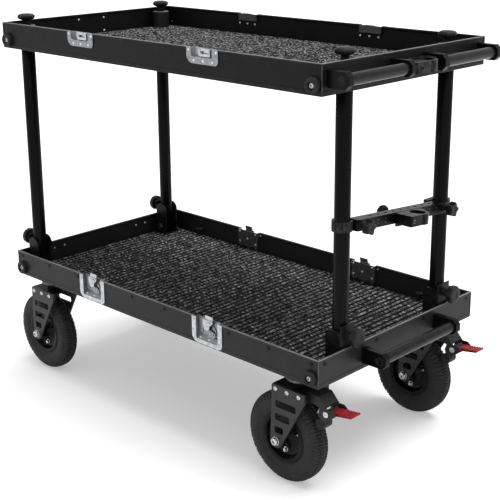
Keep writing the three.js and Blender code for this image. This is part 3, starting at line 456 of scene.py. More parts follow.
def worked(operation, shape, tools):
    """The shape after a boolean operation with each tool."""
    base = added("work", raw_mesh("work", shape))
    used = [base]
    for tool in tools:
        modifier = base.modifiers.new(operation, "BOOLEAN")
        modifier.operation = operation
        modifier.solver = "EXACT"
        modifier.object = added("tool", raw_mesh("tool", tool))
        used.append(modifier.object)
    done = base.evaluated_get(bpy.context.evaluated_depsgraph_get()).to_mesh()
    result = [tuple(v.co) for v in done.vertices], [tuple(f.vertices) for f in done.polygons]
    for each in used:
        mesh = each.data
        bpy.data.objects.remove(each)
        bpy.data.meshes.remove(mesh)
    return result


def cut(shape, *tools):
    return worked("DIFFERENCE", shape, tools)


def fused(shape, *tools):
    return worked("UNION", shape, tools)


def piece(name, shape, body, material, place=Matrix(), bevel=0.0, sharp=32, replaces=()):
    """Adds a named piece on a body; its small edge radius is the bevel."""
    mesh = raw_mesh(name, shape)
    mesh.transform(shift(x=MIDDLE_X) @ Matrix.Scale(MM, 4) @ place)
    mesh.materials.append(material)
    mesh.shade_smooth()
    mesh.set_sharp_from_angle(angle=radians(sharp))
    made = added(name, mesh)
    if bevel:
        edge = made.modifiers.new("edge", "BEVEL")
        edge.width = bevel * MM
        edge.segments = 2
        edge.limit_method = "ANGLE"
        edge.angle_limit = radians(28)
        edge.harden_normals = True
    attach(made, body)
    if replaces:
        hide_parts(*replaces)
    return made


# Small fasteners on the XZ plane, pointing to -Y
SCREW = turned([(0, 0.6), (4.2, 0.6), (4.2, -0.1), (3.8, -0.35), (2.2, -0.35), (1.8, 0.25), (0, 0.25)], "y", 20)
RIVET = turned([(0, 0.6), (2.7, 0.6), (2.7, -0.2), (2.2, -1), (1.2, -1.5), (0, -1.6)], "y", 20)
SMALL_RIVET = turned([(0, 0.6), (2, 0.6), (2, -0.3), (1.5, -0.9), (0, -1.1)], "y", 16)
SLOTTED = cut(turned([(0, 1), (5.2, 1), (5.2, -0.4), (4.6, -1.7), (3.1, -2.7), (1.4, -3.1), (0, -3.2)], "y", 28),
              box(-6, 6, -4, -2.1, -0.6, 0.6))


# ---- trays

WALL = [(0.8, 0), (7.5, 0), (7.5, 2), (3.5, 2), (3.5, 53.5), (6, 56), (6, 59.2), (5.2, 60), (0.8, 60), (0, 59.2),
        (0, 55.6), (0.9, 55), (0.9, 8.9), (0, 8.3), (0, 0.8)]
# The thin light strip along each wall's top edge is a painted highlight.
RIM_HIGHLIGHT = [(0.5, 58.9), (0, 58.9), (0, 59.5), (0.5, 60.1), (2.8, 60.1), (2.8, 59.6), (0.9, 59.6)]
SIDES = (("near", 0, 2 * HALF_LENGTH, HALF_WIDTH), ("far", 180, 2 * HALF_LENGTH, HALF_WIDTH),
         ("left", -90, 2 * HALF_WIDTH, HALF_LENGTH), ("right", 90, 2 * HALF_WIDTH, HALF_LENGTH))
WINDOW = {"lower": (-39, 31, 9.8, 61), "upper": (-37.4, 25.6, 40.2, 61)}
LONG_SCREWS, SHORT_SCREWS, SCREW_UP = (-481, -368, -255, -55, 55, 255, 368, 481), (-244, -81, 81, 244), 49
INNER_RIVETS = {"lower": ((-154, 41), (-122, 41), (122, 41), (154, 41)),
                "upper": ((-40, 47), (40, 47), (-40, 14), (40, 14))}
BUMPERS = ((-480, 19.5), (480, 19.5))
BUMPER = turned([
    (0, 1), (15.4, 1), (16, 0.2), (16, -5.6), (15.4, -7), (14, -8), (9, -8), (7.6, -7.2), (7, -4), (0, -4)], "y", 56)
BUMPER_BOLT = cut(turned([(0, -3), (5.4, -3), (5.4, -5.2), (4.8, -6), (3.6, -6.4), (0, -6.4)], "y", 28),
                  turned([(0, -4.4), (2.9, -4.4), (2.9, -8), (0, -8)], "y", 6))


def wall(length, offset, section):
    """A mitred length of a profile of (inward, up) pairs."""
    count = len(section)
    points = [(side * (length / 2 - inward - 0.2), inward - offset, up) for side in (-1, 1) for inward, up in section]
    faces = [tuple(range(count)), tuple(range(2 * count - 1, count - 1, -1))]
    return points, faces + band(0, count, count)


def inside(shape, offset, spots):
    """The shape on a wall's inner face at (x, up) spots, pointing into the tray."""
    return repeated(shape, [shift(x, SHEET - offset, z) @ turn(180) for x, z in spots])


for level, (body, lift) in DECKS.items():
    x0, x1, low, high = WINDOW[level]
    for side, angle, length, offset in SIDES:
        long = side in ("near", "far")
        shape, rim_highlight = wall(length, offset, WALL), wall(length, offset, RIM_HIGHLIGHT)
        if long:
            windows = [box(x + x0, x + x1, -HALF_WIDTH - 1, -HALF_WIDTH + 15, low, high) for _, x in LATCHES]
            shape, rim_highlight = cut(shape, *windows), cut(rim_highlight, *windows)
        place = shift(z=lift) @ turn(angle)
        tag = f"{level}_{side}"
        piece(f"{tag}_panel", shape, body, COATS[level], place, 0.35, replaces=[f"{level}_wall_{side}"])
        piece(f"{tag}_trim", rim_highlight, body, highlight_coat, place)
        screws = [shift(x, 0.9 - offset, SCREW_UP) for x in (LONG_SCREWS if long else SHORT_SCREWS)]
        piece(f"{tag}_screws", repeated(SCREW, screws), body, SCREW_MATERIALS[level], place)
        if long:
            spots = [shift(x, -offset, z) for x, z in BUMPERS]
            piece(f"{tag}_bumpers", repeated(BUMPER, spots), body, bumper_rubber, place)
            piece(f"{tag}_bumper_bolts", repeated(BUMPER_BOLT, spots), body, keeper_zinc, place)
            piece(f"{tag}_bolt_ends", inside(SMALL_RIVET, offset, BUMPERS), body, bright, place)
        else:
            piece(f"{tag}_rivets", inside(RIVET, offset, INNER_RIVETS[level]), body, rivet_glint_zinc, place)


# ---- latches, seen from outside at -Y

FACE = -HALF_WIDTH + 0.6


def tub(x0, x1, low, high, depth, slope, sheet=1.4):
    """A pan, open at its top, whose floor is the wall of the tray and whose foot slopes inwards."""
    back = FACE + depth
    outer = [(FACE, low - sheet), (back + sheet, low + slope - sheet), (back + sheet, high), (FACE, high)]
    inner = [(FACE - 9, low), (FACE, low), (back, low + slope), (back, high + 9), (FACE - 9, high + 9)]
    return cut(plate([outer], x0 - sheet, x1 + sheet, "x"), plate([inner], x0, x1, "x"))


def flange(x0, x1, low, high, left, right, mouth, sheet=1.5):
    """Flange plate round a pan: rounded lower corners, and open at the top above the pan."""
    m0, m1, foot = mouth
    shape = [(m0, high), (x0, high)] + arc(x0 + left, low + left, left, 180, 270, 8)
    shape += arc(x1 - right, low + right, right, 270, 360, 8) + [(x1, high), (m1, high)]
    shape += arc(m1 - 4, foot + 4, 4, 360, 270, 4) + arc(m0 + 4, foot + 4, 4, 270, 180, 4)
    return plate([shape], FACE - sheet, FACE)


def row(shape, spots, depth=0.0):
    return repeated(shape, [shift(x, FACE + depth, z) for x, z in spots])


DISH_FLANGE = flange(-50, 41, 2.3, 59.4, 18, 11, (-37.6, 28.6, 11.6))
DISH_PAN = cut(tub(-37.6, 28.6, 11.2, 59, 9, 9), plate([[(17, 20.5), (27, 23), (27, 31)]], FACE + 5, FACE + 14))
DISH_RIVETS = row(SMALL_RIVET, [(-44.1, 51.9), (34.8, 51.9), (32, 12.7), (-1.3, 6.4), (-38.5, 13.4)], -1.5)
COLUMN = joined(plate([rounded(-35.5, -24.5, 24, 58, 3)], FACE + 7.4, FACE + 9),
                row(SMALL_RIVET, [(-29.8, 43.5), (-29, 30.7)], 7.4), box(-33, -29, FACE + 6.4, FACE + 8, 49, 56))
TONGUE = plate([[(-18, 59.6), (-18, 50), (-17.4, 44)] + arc(-7.6, 44.6, 9.2, 184, 356, 14) +
                [(3.4, 47.5), (11, 54.5), (11.6, 59.6)]], FACE + 0.2, FACE + 2.2)
LIP = plate([[(0, 0), (3.4, 0.3), (5.4, 2.2), (5.6, 9.8), (3.6, 9.8), (3.4, 3), (2.6, 2.1), (0, 2)]], -11, 12, "x")
BOSS = turned([(0, 1), (7.4, 1), (7.4, -0.9), (6.6, -1.6), (5.6, -1.2), (4.6, -1.4), (3.2, -2.8), (0, -3.4)], "y", 32)
HOOK = joined(TONGUE, moved(LIP, shift(0, FACE - 3.2, 59.2)), moved(BOSS, shift(-2.6, FACE + 0.2, 51)))
WINGS = plate([[(-15.5, -3.4), (-4, -5.4), (4, -5.4), (15.5, -3.4), (16.2, 0), (15.5, 3.4), (4, 5.4), (-4, 5.4),
                (-15.5, 3.4), (-16.2, 0)], circle(-11.5, 0, 1.9, 12)[::-1], circle(11.5, 0, 1.9, 12)[::-1]], 3.4, 5.4)
KEY_UP = 32
KEY = joined(turned([(0, 8.4), (16, 8.4), (16, 7.2), (15.2, 6.6), (13.8, 6.6), (13.2, 7.3), (0, 7.3)], "y", 48),
             moved(WINGS, turn(14, "Y")), turned([(0, 7), (4, 7), (4, 3), (3.4, 2.4), (0, 2.4)], "y", 24))
KEEPER_FLANGE = flange(-48.8, 41, 28, 60.4, 17, 9, (-36, 24.2, 41.7))
KEEPER_PAN = tub(-36, 24.2, 41, 59.4, 7, 3)
KEEPER_FOOT = [(-27.4, 34.4), (-1.2, 34.4), (25.4, 34.4)]
KEEPER_RIVETS = row(RIVET, [(-42.3, 54), (36, 54), *KEEPER_FOOT], -1.5)
STRIKE_LOOPS = [rounded(-14.6, 17.7, 43.6, 59.6, 2.5), rounded(-9.3, 13.4, 49, 54.6, 1.2)[::-1]]
STRIKE = joined(plate(STRIKE_LOOPS, FACE - 0.6, FACE + 1.4),
                plate([rounded(-12, 15, 45, 58, 1)], FACE + 4.6, FACE + 7),
                *[box(x, x + 3.6, FACE + 1, FACE + 7, 44, 59) for x in (-14.6, 14.1)],
                row(SMALL_RIVET, [(-11.9, 57), (15.4, 57)], -0.6))
BACK_RIVETS = {"lower": [(-44, 51.9), (-28, 13.6), (-2, 13.6), (28, 13.6), (34.8, 51.9)], "upper": KEEPER_FOOT}
BACK_PLATE = plate([rounded(-37, 28, 20, 59, 2)], FACE + 10.4, FACE + 11.2)
BACK_BOLTS = repeated(RIVET, [shift(x, FACE + 11.2, z) @ turn(180) for x, z in
                              ((-33, 54), (-33, 27), (-4, 38), (24, 54), (24, 27))])

for side, angle in (("near", 0), ("far", 180)):
    near = side == "near"
    # The far latches' hooks, strikes and keeper pans take a darker zinc than the near ones: painted shade.
    shade = zinc if near else dark_zinc
    for name, x in LATCHES:
        tag = f"{side}_{name}"
        dish, keeper = [shift(z=lift) @ turn(angle) @ shift(x) for lift in (LOWER, UPPER)]
        piece(f"dish_flange_{tag}", joined(DISH_FLANGE, DISH_RIVETS), "base", zinc, dish,
              replaces=[f"latch_dish_{name}"] if near else ())
        piece(f"dish_pan_{tag}", joined(DISH_PAN, COLUMN), "base", grey_zinc, dish, 0.2)
        piece(f"dish_hook_{tag}", HOOK, "base", shade, dish, 0.25)
        piece(f"latch_key_{tag}", KEY, f"latch_cam_{name}" if near else "base", grey_zinc,
              dish @ shift(0, FACE, KEY_UP), 0.2, replaces=[f"latch_cam_{name}"] if near else ())
        piece(f"dish_back_{tag}", BACK_PLATE, "base", dark_zinc, dish, 0.2)
        piece(f"dish_back_bolts_{tag}", BACK_BOLTS, "base", rivet_glint_zinc, dish)
        piece(f"keeper_flange_{tag}", KEEPER_FLANGE, "upper_tray", grey_zinc, keeper,
              replaces=[f"latch_keeper_{name}"] if near else ())
        piece(f"keeper_rivets_{tag}", KEEPER_RIVETS, "upper_tray", rivet_glint_zinc, keeper)
        piece(f"keeper_pan_{tag}", KEEPER_PAN, "upper_tray", keeper_zinc if near else dark_zinc, keeper, 0.2)
        piece(f"keeper_strike_{tag}", STRIKE, "upper_tray", shade, keeper, 0.2)
        for level, place in (("lower", dish), ("upper", keeper)):
            piece(f"{level}_latch_rivet_backs_{tag}", inside(RIVET, HALF_WIDTH, BACK_RIVETS[level]),
                  DECKS[level][0], rivet_glint_zinc, place)


# ---- carpets, collars and corners

CARPET_TOP, CARPET_BOTTOM = 10.5, 5.1
CARPET_X, CARPET_Y = 491.5, 255.0
POCKET_X, POCKET_HALF = POST_X - 22.5, 29.5


def grid_lines(reach, step, extra=()):
    """Evenly spaced lines from -reach to reach, moved aside for the extra ones."""
    count = round(2 * reach / step)
    lines = [-reach + 2 * reach * i / count for i in range(count + 1)]
    lines = [v for v in lines if all(abs(v - e) > step * 0.4 for e in extra) or abs(v) == reach]
    return sorted({*lines, *extra})


def mat(xs, ys, missing, raise_at):
    """A carpet sheet on a grid of lines, without the cells that missing() names, and with a cut edge."""
    bm = bmesh.new()
    corners = {}
    for x0, x1 in zip(xs, xs[1:]):
        for y0, y1 in zip(ys, ys[1:]):
            if missing((x0 + x1) / 2, (y0 + y1) / 2):
                continue
            ring = (x0, y0), (x1, y0), (x1, y1), (x0, y1)
            for x, y in ring:
                if (x, y) not in corners:
                    corners[x, y] = bm.verts.new((x, y, CARPET_TOP + raise_at(x, y)))
            bm.faces.new([corners[at] for at in ring])
    edge = [e for e in bm.edges if e.is_boundary]
    for v in bmesh.ops.extrude_edge_only(bm, edges=edge)["geom"]:
        if isinstance(v, bmesh.types.BMVert):
            v.co.z = CARPET_BOTTOM
    bm.verts.index_update()
    points = [tuple(v.co) for v in bm.verts]
    # Sorted, because the cut edge's faces come in another order on each run
    faces = sorted(tuple(v.index for v in face.verts) for face in bm.faces)
    bm.free()
    return points, faces


def in_pocket(x, y):
    return any(abs(y - py) < POCKET_HALF and x * copysign(1, px) > POCKET_X for px, py in POSTS.values())


def in_collar(x, y):
    return any(hypot(x - px, y - py) < 19 for px, py in POSTS.values())


def ribs(x, y):
    rib = abs(sin(pi * x / RIB_PITCH)) ** 0.7
    return 1.3 * rib - 1.9 + 0.5 * noise.noise(Vector((x * 0.11, y * 0.16, 0)))


def loops(x, y):
    fine, broad = noise.noise(Vector((x * 0.17, y * 0.17, 3))), noise.noise(Vector((x * 0.05, y * 0.05, 8)))
    return -0.8 + 0.7 * fine + 0.4 * broad


pocket_y = [py + side * POCKET_HALF for _, py in POSTS.values() for side in (-1, 1)]
lower_x, lower_y = grid_lines(CARPET_X, 1.95, (-POCKET_X, POCKET_X)), grid_lines(CARPET_Y, 6, pocket_y)
lower_shape = mat(lower_x, lower_y, in_pocket, ribs)
upper_shape = mat(grid_lines(CARPET_X, 4), grid_lines(CARPET_Y, 4), in_collar, loops)
lower_mat = piece("lower_carpet", lower_shape, "base", lower_carpet, shift(z=LOWER), sharp=60,
                  replaces=["lower_mat"])
upper_mat = piece("upper_carpet", upper_shape, "upper_tray", upper_carpet, shift(z=UPPER), sharp=60,
                  replaces=["upper_mat"])

COLLAR = turned([(0, 4), (18.8, 4), (18.8, 47.6), (20.2, 48.2), (20.2, 49.6), (5.4, 49.6), (5.4, 49), (0, 49)])
# A washer on each collar; its light grey colour is a painted highlight on its top.
RING = turned([(17, 49), (20.2, 49.3), (20.2, 50.3), (19.5, 51), (17, 51)], closed=True)
# The corner strips are lighter than the coat: a painted highlight on the corner edges.
CORNER = box(-1.3, -0.05, -1.3, -0.05, 1, 59)
spots = [shift(x, y) for x, y in POSTS.values()]
piece("post_collars", repeated(COLLAR, spots), "upper_tray", upper_coat, shift(z=UPPER))
piece("post_collar_rings", repeated(RING, spots), "upper_tray", highlight_coat, shift(z=UPPER))
spots = [shift(x * HALF_LENGTH, y * HALF_WIDTH) @ turn(angle)
         for x, y, angle in ((1, 1, 0), (-1, 1, 90), (-1, -1, 180), (1, -1, -90))]
for level, (body, lift) in DECKS.items():
    piece(f"{level}_corner_seams", repeated(CORNER, spots), body, seam_highlight_coat, shift(z=lift))


# ---- handles

ROOT = HALF_LENGTH + 0.3  # just off the wall
ARM_HALF, TUBE_R, CLAMP_BACK = 16.5, 12, 30.5
# level: name of the bars, their middle (x, up), the arms and the bars between them along Y
HANDLES = {"upper": ("bars", (HALF_LENGTH + 34, 31.5), ((-250, -235), (-62, -47), (235, 250), (47, 62)),
                     ((-236, -61), (61, 236))),
           "lower": ("bar", (HALF_LENGTH + 44, 31), ((-131, -116), (116, 131)), ((-117, 117),))}


def handle_arm(x, up, y0, y1):
    front, low, high = x + ARM_HALF, up - ARM_HALF, up + ARM_HALF
    return plate([[(ROOT, low), (front - 9, low), (front, low + 9), (front, high - 9), (front - 9, high),
                   (ROOT, high)]], y0, y1)


def handle_bar(x, up, y0, y1):
    return moved(turned([(0, y0), (TUBE_R, y0), (TUBE_R, y1), (0, y1)], "y", 64), shift(x, 0, up))


def post_clamp(back, left, right, ring=23.25, bore=16.65, half=11):
    """Split clamp: flat back, ring round the bore, slit tab. The bore is at the origin."""
    body = fused(box(-back, -2, -left, right, -half, half),
                 disc(0, 0, ring, -half, half, "z", 64),
                 plate([rounded(-4, 21, -left, -10, 3)], -half, half, "z"))
    return cut(body, box(-back - 30, -back, -60, 60, -half - 1, half + 1),
               disc(0, 0, bore, -half - 1, half + 1, "z", 64),
               box(-2, 0, -left - 1, -14, -half - 1, half + 1),
               disc(BOLT_Y, 0, 4.6, -back - 1, 30, "x", 24))


BOLT_Y = -40
CAP = turned([(0, 1), (9.6, 1), (9.6, -0.5), (9, -1.2), (8, -1.4), (7.2, -0.9), (0, -0.7)], "y", 40)
CLAMP_BOLT = moved(turned([(0, -9), (4.5, -9), (4.5, 22.4), (4, 23), (2.6, 23), (2.4, 20), (0, 20)], "x", 24),
                   shift(0, BOLT_Y, 0))
for level, (bars, (x, up), arms, tubes) in HANDLES.items():
    body, lift = DECKS[level]
    deck = shift(z=lift)
    shape = joined(*[handle_arm(x, up, *ends) for ends in arms])
    piece(f"{level}_handle_arms", shape, body, rail_metal, deck, 1, replaces=[f"{level}_handle"])
    piece(f"{level}_handle_caps", repeated(CAP, pair(x, -arms[0][0], up)), body, cap_plastic, deck)
    shape = joined(*[handle_bar(x, up, *ends) for ends in tubes])
    piece(f"{level}_handle_{bars}", shape, body, bar_metal, deck)
    if level == "upper":
        bore = shift(ROOT + CLAMP_BACK, 8, lift + up)
        piece("handle_clamp", post_clamp(CLAMP_BACK, 56, 40), body, rail_metal, bore, 0.8)
        piece("handle_clamp_bolt", CLAMP_BOLT, body, cap_plastic, bore)


# ---- posts, brackets, pins and knobs

def post():
    """Tube with a rounded heel about its pivot."""
    steps = 64
    floor_up, gap = 2.3, 0.5
    top = UPPER + floor_up - gap - LOWER - PIVOT_UP
    levels = ["heel", 20, top - 1, top]
    points, faces = [], []
    for level in levels:
        radius = POST_R - (0.8 if level == top else 0)
        for i in range(steps):
            x, y, _ = spin("z", radius, tau * (i + 0.5) / steps, 0)
            points.append((x, y, -sqrt(max(0.0, POST_R ** 2 - x * x)) if level == "heel" else level))
    for ring in range(len(levels) - 1):
        faces += band(ring * steps, (ring + 1) * steps, steps)
    faces += [(i, i + 1, steps - 2 - i, steps - 1 - i) for i in range(steps // 2 - 1)]
    faces.append(tuple(range(len(points) - steps, len(points))))
    return points, faces


def bracket(left):
    """Folded sheet: base, two ears and an outboard web, with the ears' tops shaped."""
    if left:
        top, crown = 97, [(17.4, 78), *arc(0, 73, 20, 30, 180, 14), (-22, 73)]
    else:
        top, crown = 105, [(17.4, 93), (-11, 93), (-20, 84), (-22, 84)]
    body = cut(plate([rounded(-20, 20, -22, 22, 0.5, 5, 5, 0.5)], 5.1, top, "z"),
               box(-21, 17, -17, 17, 8.6, top + 1))
    return cut(body, plate([[(17.4, top + 5), *crown, (-22, top + 5)]], -30, 30),
               disc(0, PIN_UP, 4.3, 10, 30, "x", 24))


PIVOT_HEAD = turned([(0, 1), (8.5, 1), (8.5, -4.2), (7.6, -5), (3.4, -5), (3.1, -3), (0, -3)], "y", 6)
PIVOT_WASHER = turned([(0, 1), (9.4, 1), (9.4, -1), (9, -1.3), (0, -1.3)], "y", 40)
PULL_PIN = turned([
    (0, -3.45), (4, -3.45), (4, 0.3), (9, 0.3), (9, 3.2), (8.4, 3.8), (8.4, 10.2), (9, 10.9), (9, 11.3), (12.6, 11.3),
    (13, 11.8), (13, 15.6), (12.4, 16.3), (16.6, 16.3), (18.6, 17), (19.7, 18.6), (20, 20.4), (20, 26.2),
    (19.7, 27.9), (18.6, 29.5), (16.8, 30.3), (9, 30.3), (8, 29.6), (0, 29.4)], "x", 60, lobes=12, depth=0.9)
TOP_KNOB = turned([
    (0, -48.7), (5, -48.7), (5, 0.3), (9, 0.3), (9.2, 1.5), (8.6, 7), (8.8, 10.5), (10.6, 12.2), (15, 13.4),
    (18.8, 15.6), (20.6, 18.2), (21, 20.2), (20.6, 22.2), (19, 24.3), (16, 26), (11, 27.1), (5, 27.5), (0, 27.5)],
    "z", 72, lobes=6, depth=2.4)
STAR_KNOB = turned([
    (0, -48.7), (4, -48.7), (4, 0.3), (10, 0.3), (10, 2.1), (9.8, 2.3), (6.5, 2.3), (6.5, 11), (7.2, 11.3),
    (12.6, 11.4), (15.4, 12.2), (16.5, 13.8), (16.5, 23.6), (15.8, 25.4), (14, 26.3), (6.2, 26.3), (5.6, 25.4),
    (0, 25.4)], "x", 70, lobes=5, depth=6)
REAR_KNOB = turned([
    (0, -5), (4, -5), (4, 0.3), (7, 0.3), (7, 9.3), (14, 9.4), (16.2, 10.2), (17, 11.8), (17, 16.6), (16.2, 18.2),
    (14.4, 19), (7, 19.3), (6.4, 18.6), (0, 18.6)], "x", 60, lobes=10, depth=0.9)

PIVOT_BOLT = joined(*[repeated(part, pair(0, 22, PIVOT_UP)) for part in (PIVOT_HEAD, PIVOT_WASHER)])
POST = post()
for name, (x, y) in POSTS.items():
    left = x < 0
    foot = shift(x, y, LOWER) @ turn(180 if left else 0)
    body = f"left_post_{name.split('_')[0]}" if left else "right_posts"
    piece(f"bracket_sheet_{name}", bracket(left), "base", bracket_coat, foot, 0.6,
          replaces=[f"bracket_{name}"])
    piece(f"pivot_bolt_{name}", PIVOT_BOLT, "base", dark_zinc, foot, 0.25)
    piece(f"pull_knob_{name}", PULL_PIN, f"pull_pin_{name}", knob_plastic, foot @ shift(20, 0, PIN_UP),
          replaces=[f"pull_pin_{name}"])
    piece(f"post_tube_{name}", POST, body, post_metal, foot @ shift(z=PIVOT_UP),
          replaces=[f"post_{name}"], sharp=40)
    piece(f"top_knob_shell_{name}", TOP_KNOB, f"top_knob_{name}", knob_plastic,
          shift(x, y, UPPER + KNOB_UP), replaces=[f"top_knob_{name}"])


# ---- crossbar

BAR_REAR, BAR_FACE, BAR_HALF = 4, 28, 11.5
DIMPLES = (-3.6, 3.6)
SHANK_Y, SHANK_UP = RIGHT_Y - 24.5, 12
rail = shift(POST_X, 0, RAIL_Z)
tilt = turn(-degrees(TILT), "X")
tilted = rail @ tilt
POST_BORES = [disc(0, side * RIGHT_Y, 16.75, -40, 40, "z", 64) for side in (-1, 1)]
SHANKS = [disc(side * SHANK_Y, -side * SHANK_UP, 4.3, -30, 40, "x", 20) for side in (-1, 1)]
bar = plate([rounded(BAR_REAR, BAR_FACE, -152.3, 152.3, 1, 4, 4, 1)], -BAR_HALF, BAR_HALF, "z")
bar = cut(bar, *[disc(16, 25 * i, 3.4, -13, 13, "z", 20) for i in range(-4, 5)],
          *[disc(12.5 + 25 * i, up, 2.3, 22, 40, "x", 16) for i in range(-5, 5) for up in DIMPLES])
bar = cut(moved(bar, tilt), *POST_BORES, *SHANKS)
piece("crossbar_bar", bar, "crossbar", rail_metal, rail, 0.7, replaces=["crossbar"])
sunk = moved(SMALL_RIVET, shift(0, -4, 0))
dots = [shift(22.8, y, up) @ turn(90) for y in (-112.5, -87.5, -62.5, 62.5, 87.5, 112.5) for up in DIMPLES]
piece("crossbar_screws", repeated(sunk, dots), "crossbar", dark_zinc, tilted)
for side, name in ((-1, "near"), (1, "far")):
    z = -side * SHANK_UP
    low, high = z - 10.5, z + 10.5
    slit = box(-9, 3.7, *span(side, RIGHT_Y - 34, RIGHT_Y - 12), low, high)
    clamp = fused(disc(0, side * RIGHT_Y, 21, low, high, "z", 64),
                  plate([rounded(-21, -9, *span(side, RIGHT_Y - 33, RIGHT_Y), 1.5)], low, high, "z"))
    piece(f"crossbar_clamp_{name}", cut(clamp, *POST_BORES, *SHANKS, slit), "crossbar", rail_metal, rail, 0.7)
    piece(f"star_grip_{name}", STAR_KNOB, f"star_knob_{name}", knob_plastic,
          rail @ shift(BAR_FACE, side * SHANK_Y, z), replaces=[f"star_knob_{name}"])

yoke = joined(box(-1.3, 28.9, -32, -2, -16.8, -11.8), box(-1.3, 3.7, -32, -2, -16.8, 11.5),
              box(28.3, 33.3, -32, -2, -16.8, -10))
yoke = cut(yoke, disc(-17, 0, 4.3, -3, 4.6, "x", 20))
bore = tilted @ shift(48.3, 14, 0)
piece("accessory_post_clamp", post_clamp(20, 48, 32), "accessory_clamp", rail_metal, bore, 0.8,
      replaces=["accessory_clamp"])
piece("accessory_yoke", yoke, "accessory_clamp", rail_metal, tilted, 0.6)
piece("accessory_bolt", CLAMP_BOLT, "accessory_clamp", dark_zinc, bore)
piece("rear_grip", REAR_KNOB, "accessory_knob", knob_plastic, tilted @ shift(-1.3, -17, 0) @ turn(180),
      replaces=["accessory_knob"])


# ---- casters

def tyre():
    """Tyre with a zigzag crown, shoulder lugs and two faint sidewall rings."""
    half = smooth([
        (50, 16.6), (56.5, 16.8), (59.4, 18.9), (61, 18.9), (62.6, 18.6), (66, 20.6), (69.6, 21.6), (70.6, 21.3),
        (71.6, 21.8), (77.6, 22.2), (78.6, 21.7), (79.6, 22), (86, 20.5), (90.6, 18.4), (94.3, 16), (96.9, 12.6),
        (98.1, 8.6), (98.55, 4.4), (98.72, 0)])
    outline = half + [(radius, -across) for radius, across in reversed(half[:-1])]
    steps, lugs, waves, slits = 336, 56, 42, 84
    lug_depth, groove_depth = 2.8, 2.6
    points, faces = [], []
    for radius, across in outline:
        side = abs(across)
        for i in range(steps):
            share = i / steps
            reach = radius
            if side > 15.5 and radius > 84:
                if (share * lugs) % 1 < 0.4:
                    reach -= lug_depth
            elif radius > 93:
                wave = abs(((share * waves) % 1) - 0.5) * 5 - 1.25
                groove = min(abs(side - 11.8), abs(across - 3.6 - wave), abs(across + 3.6 - wave))
                slit = (share * slits + (0.5 if across > 0 else 0)) % 1
                if groove < 1.1 or (slit < 0.2 and side > 5.5):
                    reach -= groove_depth
            points.append(spin("y", reach, tau * share, across))
    rows = len(outline)
    for row in range(rows):
        faces += band(row * steps, (row + 1) % rows * steps, steps)
    return points, faces


RIM_HALF = [
    (5.3, 32.6), (11.6, 32.6), (13, 31.4), (13.2, 20), (16, 13), (20.5, 7.5), (27, 4.4), (36, 3.6), (41.2, 5.6),
    (44.6, 10.2), (45.4, 15.4), (47, 18), (49.6, 18.7), (52.8, 18.9), (55.2, 18.5), (56, 17.6), (55, 17.2),
    (49.1, 17.2)]
RIM = turned(mirrored(RIM_HALF), "y", 64, closed=True)
RIM_BOLT = joined(turned([(0, 0), (6.2, 0), (6.2, -1.3), (5.8, -1.6), (0, -1.6)], "y", 32),
                  turned([(0, -1), (4.6, -1), (4.6, -5.2), (3.9, -6), (0, -6)], "y", 6))
RIM_BOLTS = repeated(RIM_BOLT, [turn(flip) @ turn(120 * k + 94, "Y") @ shift(33, -3.6, 0)
                                for flip in (0, 180) for k in range(3)])
VALVE = turned([
    (0, 2), (3.6, 2), (3.6, -3), (2.6, -4), (2.5, -12), (2.9, -12.2), (2.9, -16), (2.2, -16.6), (0, -16.6)], "y", 24)
TYRE = tyre()
AXLE = joined(
    turned([(0, 1), (9.6, 1), (9.6, -1.2), (9.2, -1.6), (0, -1.6)], "y"),
    turned([(0, -1), (8.2, -1), (8.2, -5.6), (7.6, -7), (6, -7.8), (3.4, -7.8), (3.1, -5), (0, -5)], "y"))
SHAFT = moved(turned(mirrored([(0, -38), (5, -38)]), "y", 24), shift(-TRAIL, 0, AXLE_Z))
KINGPIN = turned([(0, FORK_TOP), (7, FORK_TOP), (7, BEARING_BOTTOM + 12), (0, BEARING_BOTTOM + 12)], "z", 32)
NECK = turned([
    (0, FORK_TOP - 1), (17, FORK_TOP - 1), (17, BEARING_BOTTOM - 1.2), (16.4, BEARING_BOTTOM - 0.3),
    (0, BEARING_BOTTOM - 0.3)])
BEARING = turned([
    (7.3, 236), (26, 236), (28.6, 236.6), (30.4, 238), (31, 240), (31, 243.4), (29.2, 244), (29.2, 245), (31, 245.6),
    (31, 250), (7.3, 250)], "z", 64, closed=True)
TEE_TOP = LOWER + 31
TEE = turned([
    (0, 254), (3, 254), (3, TEE_TOP - 4), (8.6, TEE_TOP - 4), (9.5, TEE_TOP - 3.2), (9.5, TEE_TOP - 1.8),
    (8.2, TEE_TOP - 0.5), (4, TEE_TOP), (0, TEE_TOP)], "z", 40)
CASTER_SHEET = plate([rounded(-55, 55, -35.5, 35.5, 6)], 249, PLATE_TOP, "z")
NUTS = repeated(moved(RIM_BOLT, turn(180)),
                [shift(x, y, 249.5) @ turn(90, "X") for x, y in ((-43, -25), (43, -25), (-43, 25), (43, 25))])


def fork_plate():
    """Outline of a side plate and its three windows."""
    front, rear = (43, BLOCK_BOTTOM), (-45, FORK_TOP - 33)
    nose = 15.5
    loops = [[rear] + arc(-TRAIL, AXLE_Z, nose, 180, 334, 14) + [front] +
             arc(40, FORK_TOP - 3, 3, 0, 90, 4) + arc(-42, FORK_TOP - 3, 3, 90, 180, 4)]
    for i in range(3):
        high = rear[1] - 29.5 * i
        low = high - 15
        middle = (high + low) / 2
        share = (front[1] - middle) / (front[1] - AXLE_Z)
        right = front[0] - (front[0] + TRAIL - nose) * share - 11
        share = (rear[1] - middle) / (rear[1] - AXLE_Z)
        left = rear[0] - (nose + TRAIL + rear[0]) * share + 11
        loops.append(rounded(left, right, low, high, 3.5)[::-1])
    return loops


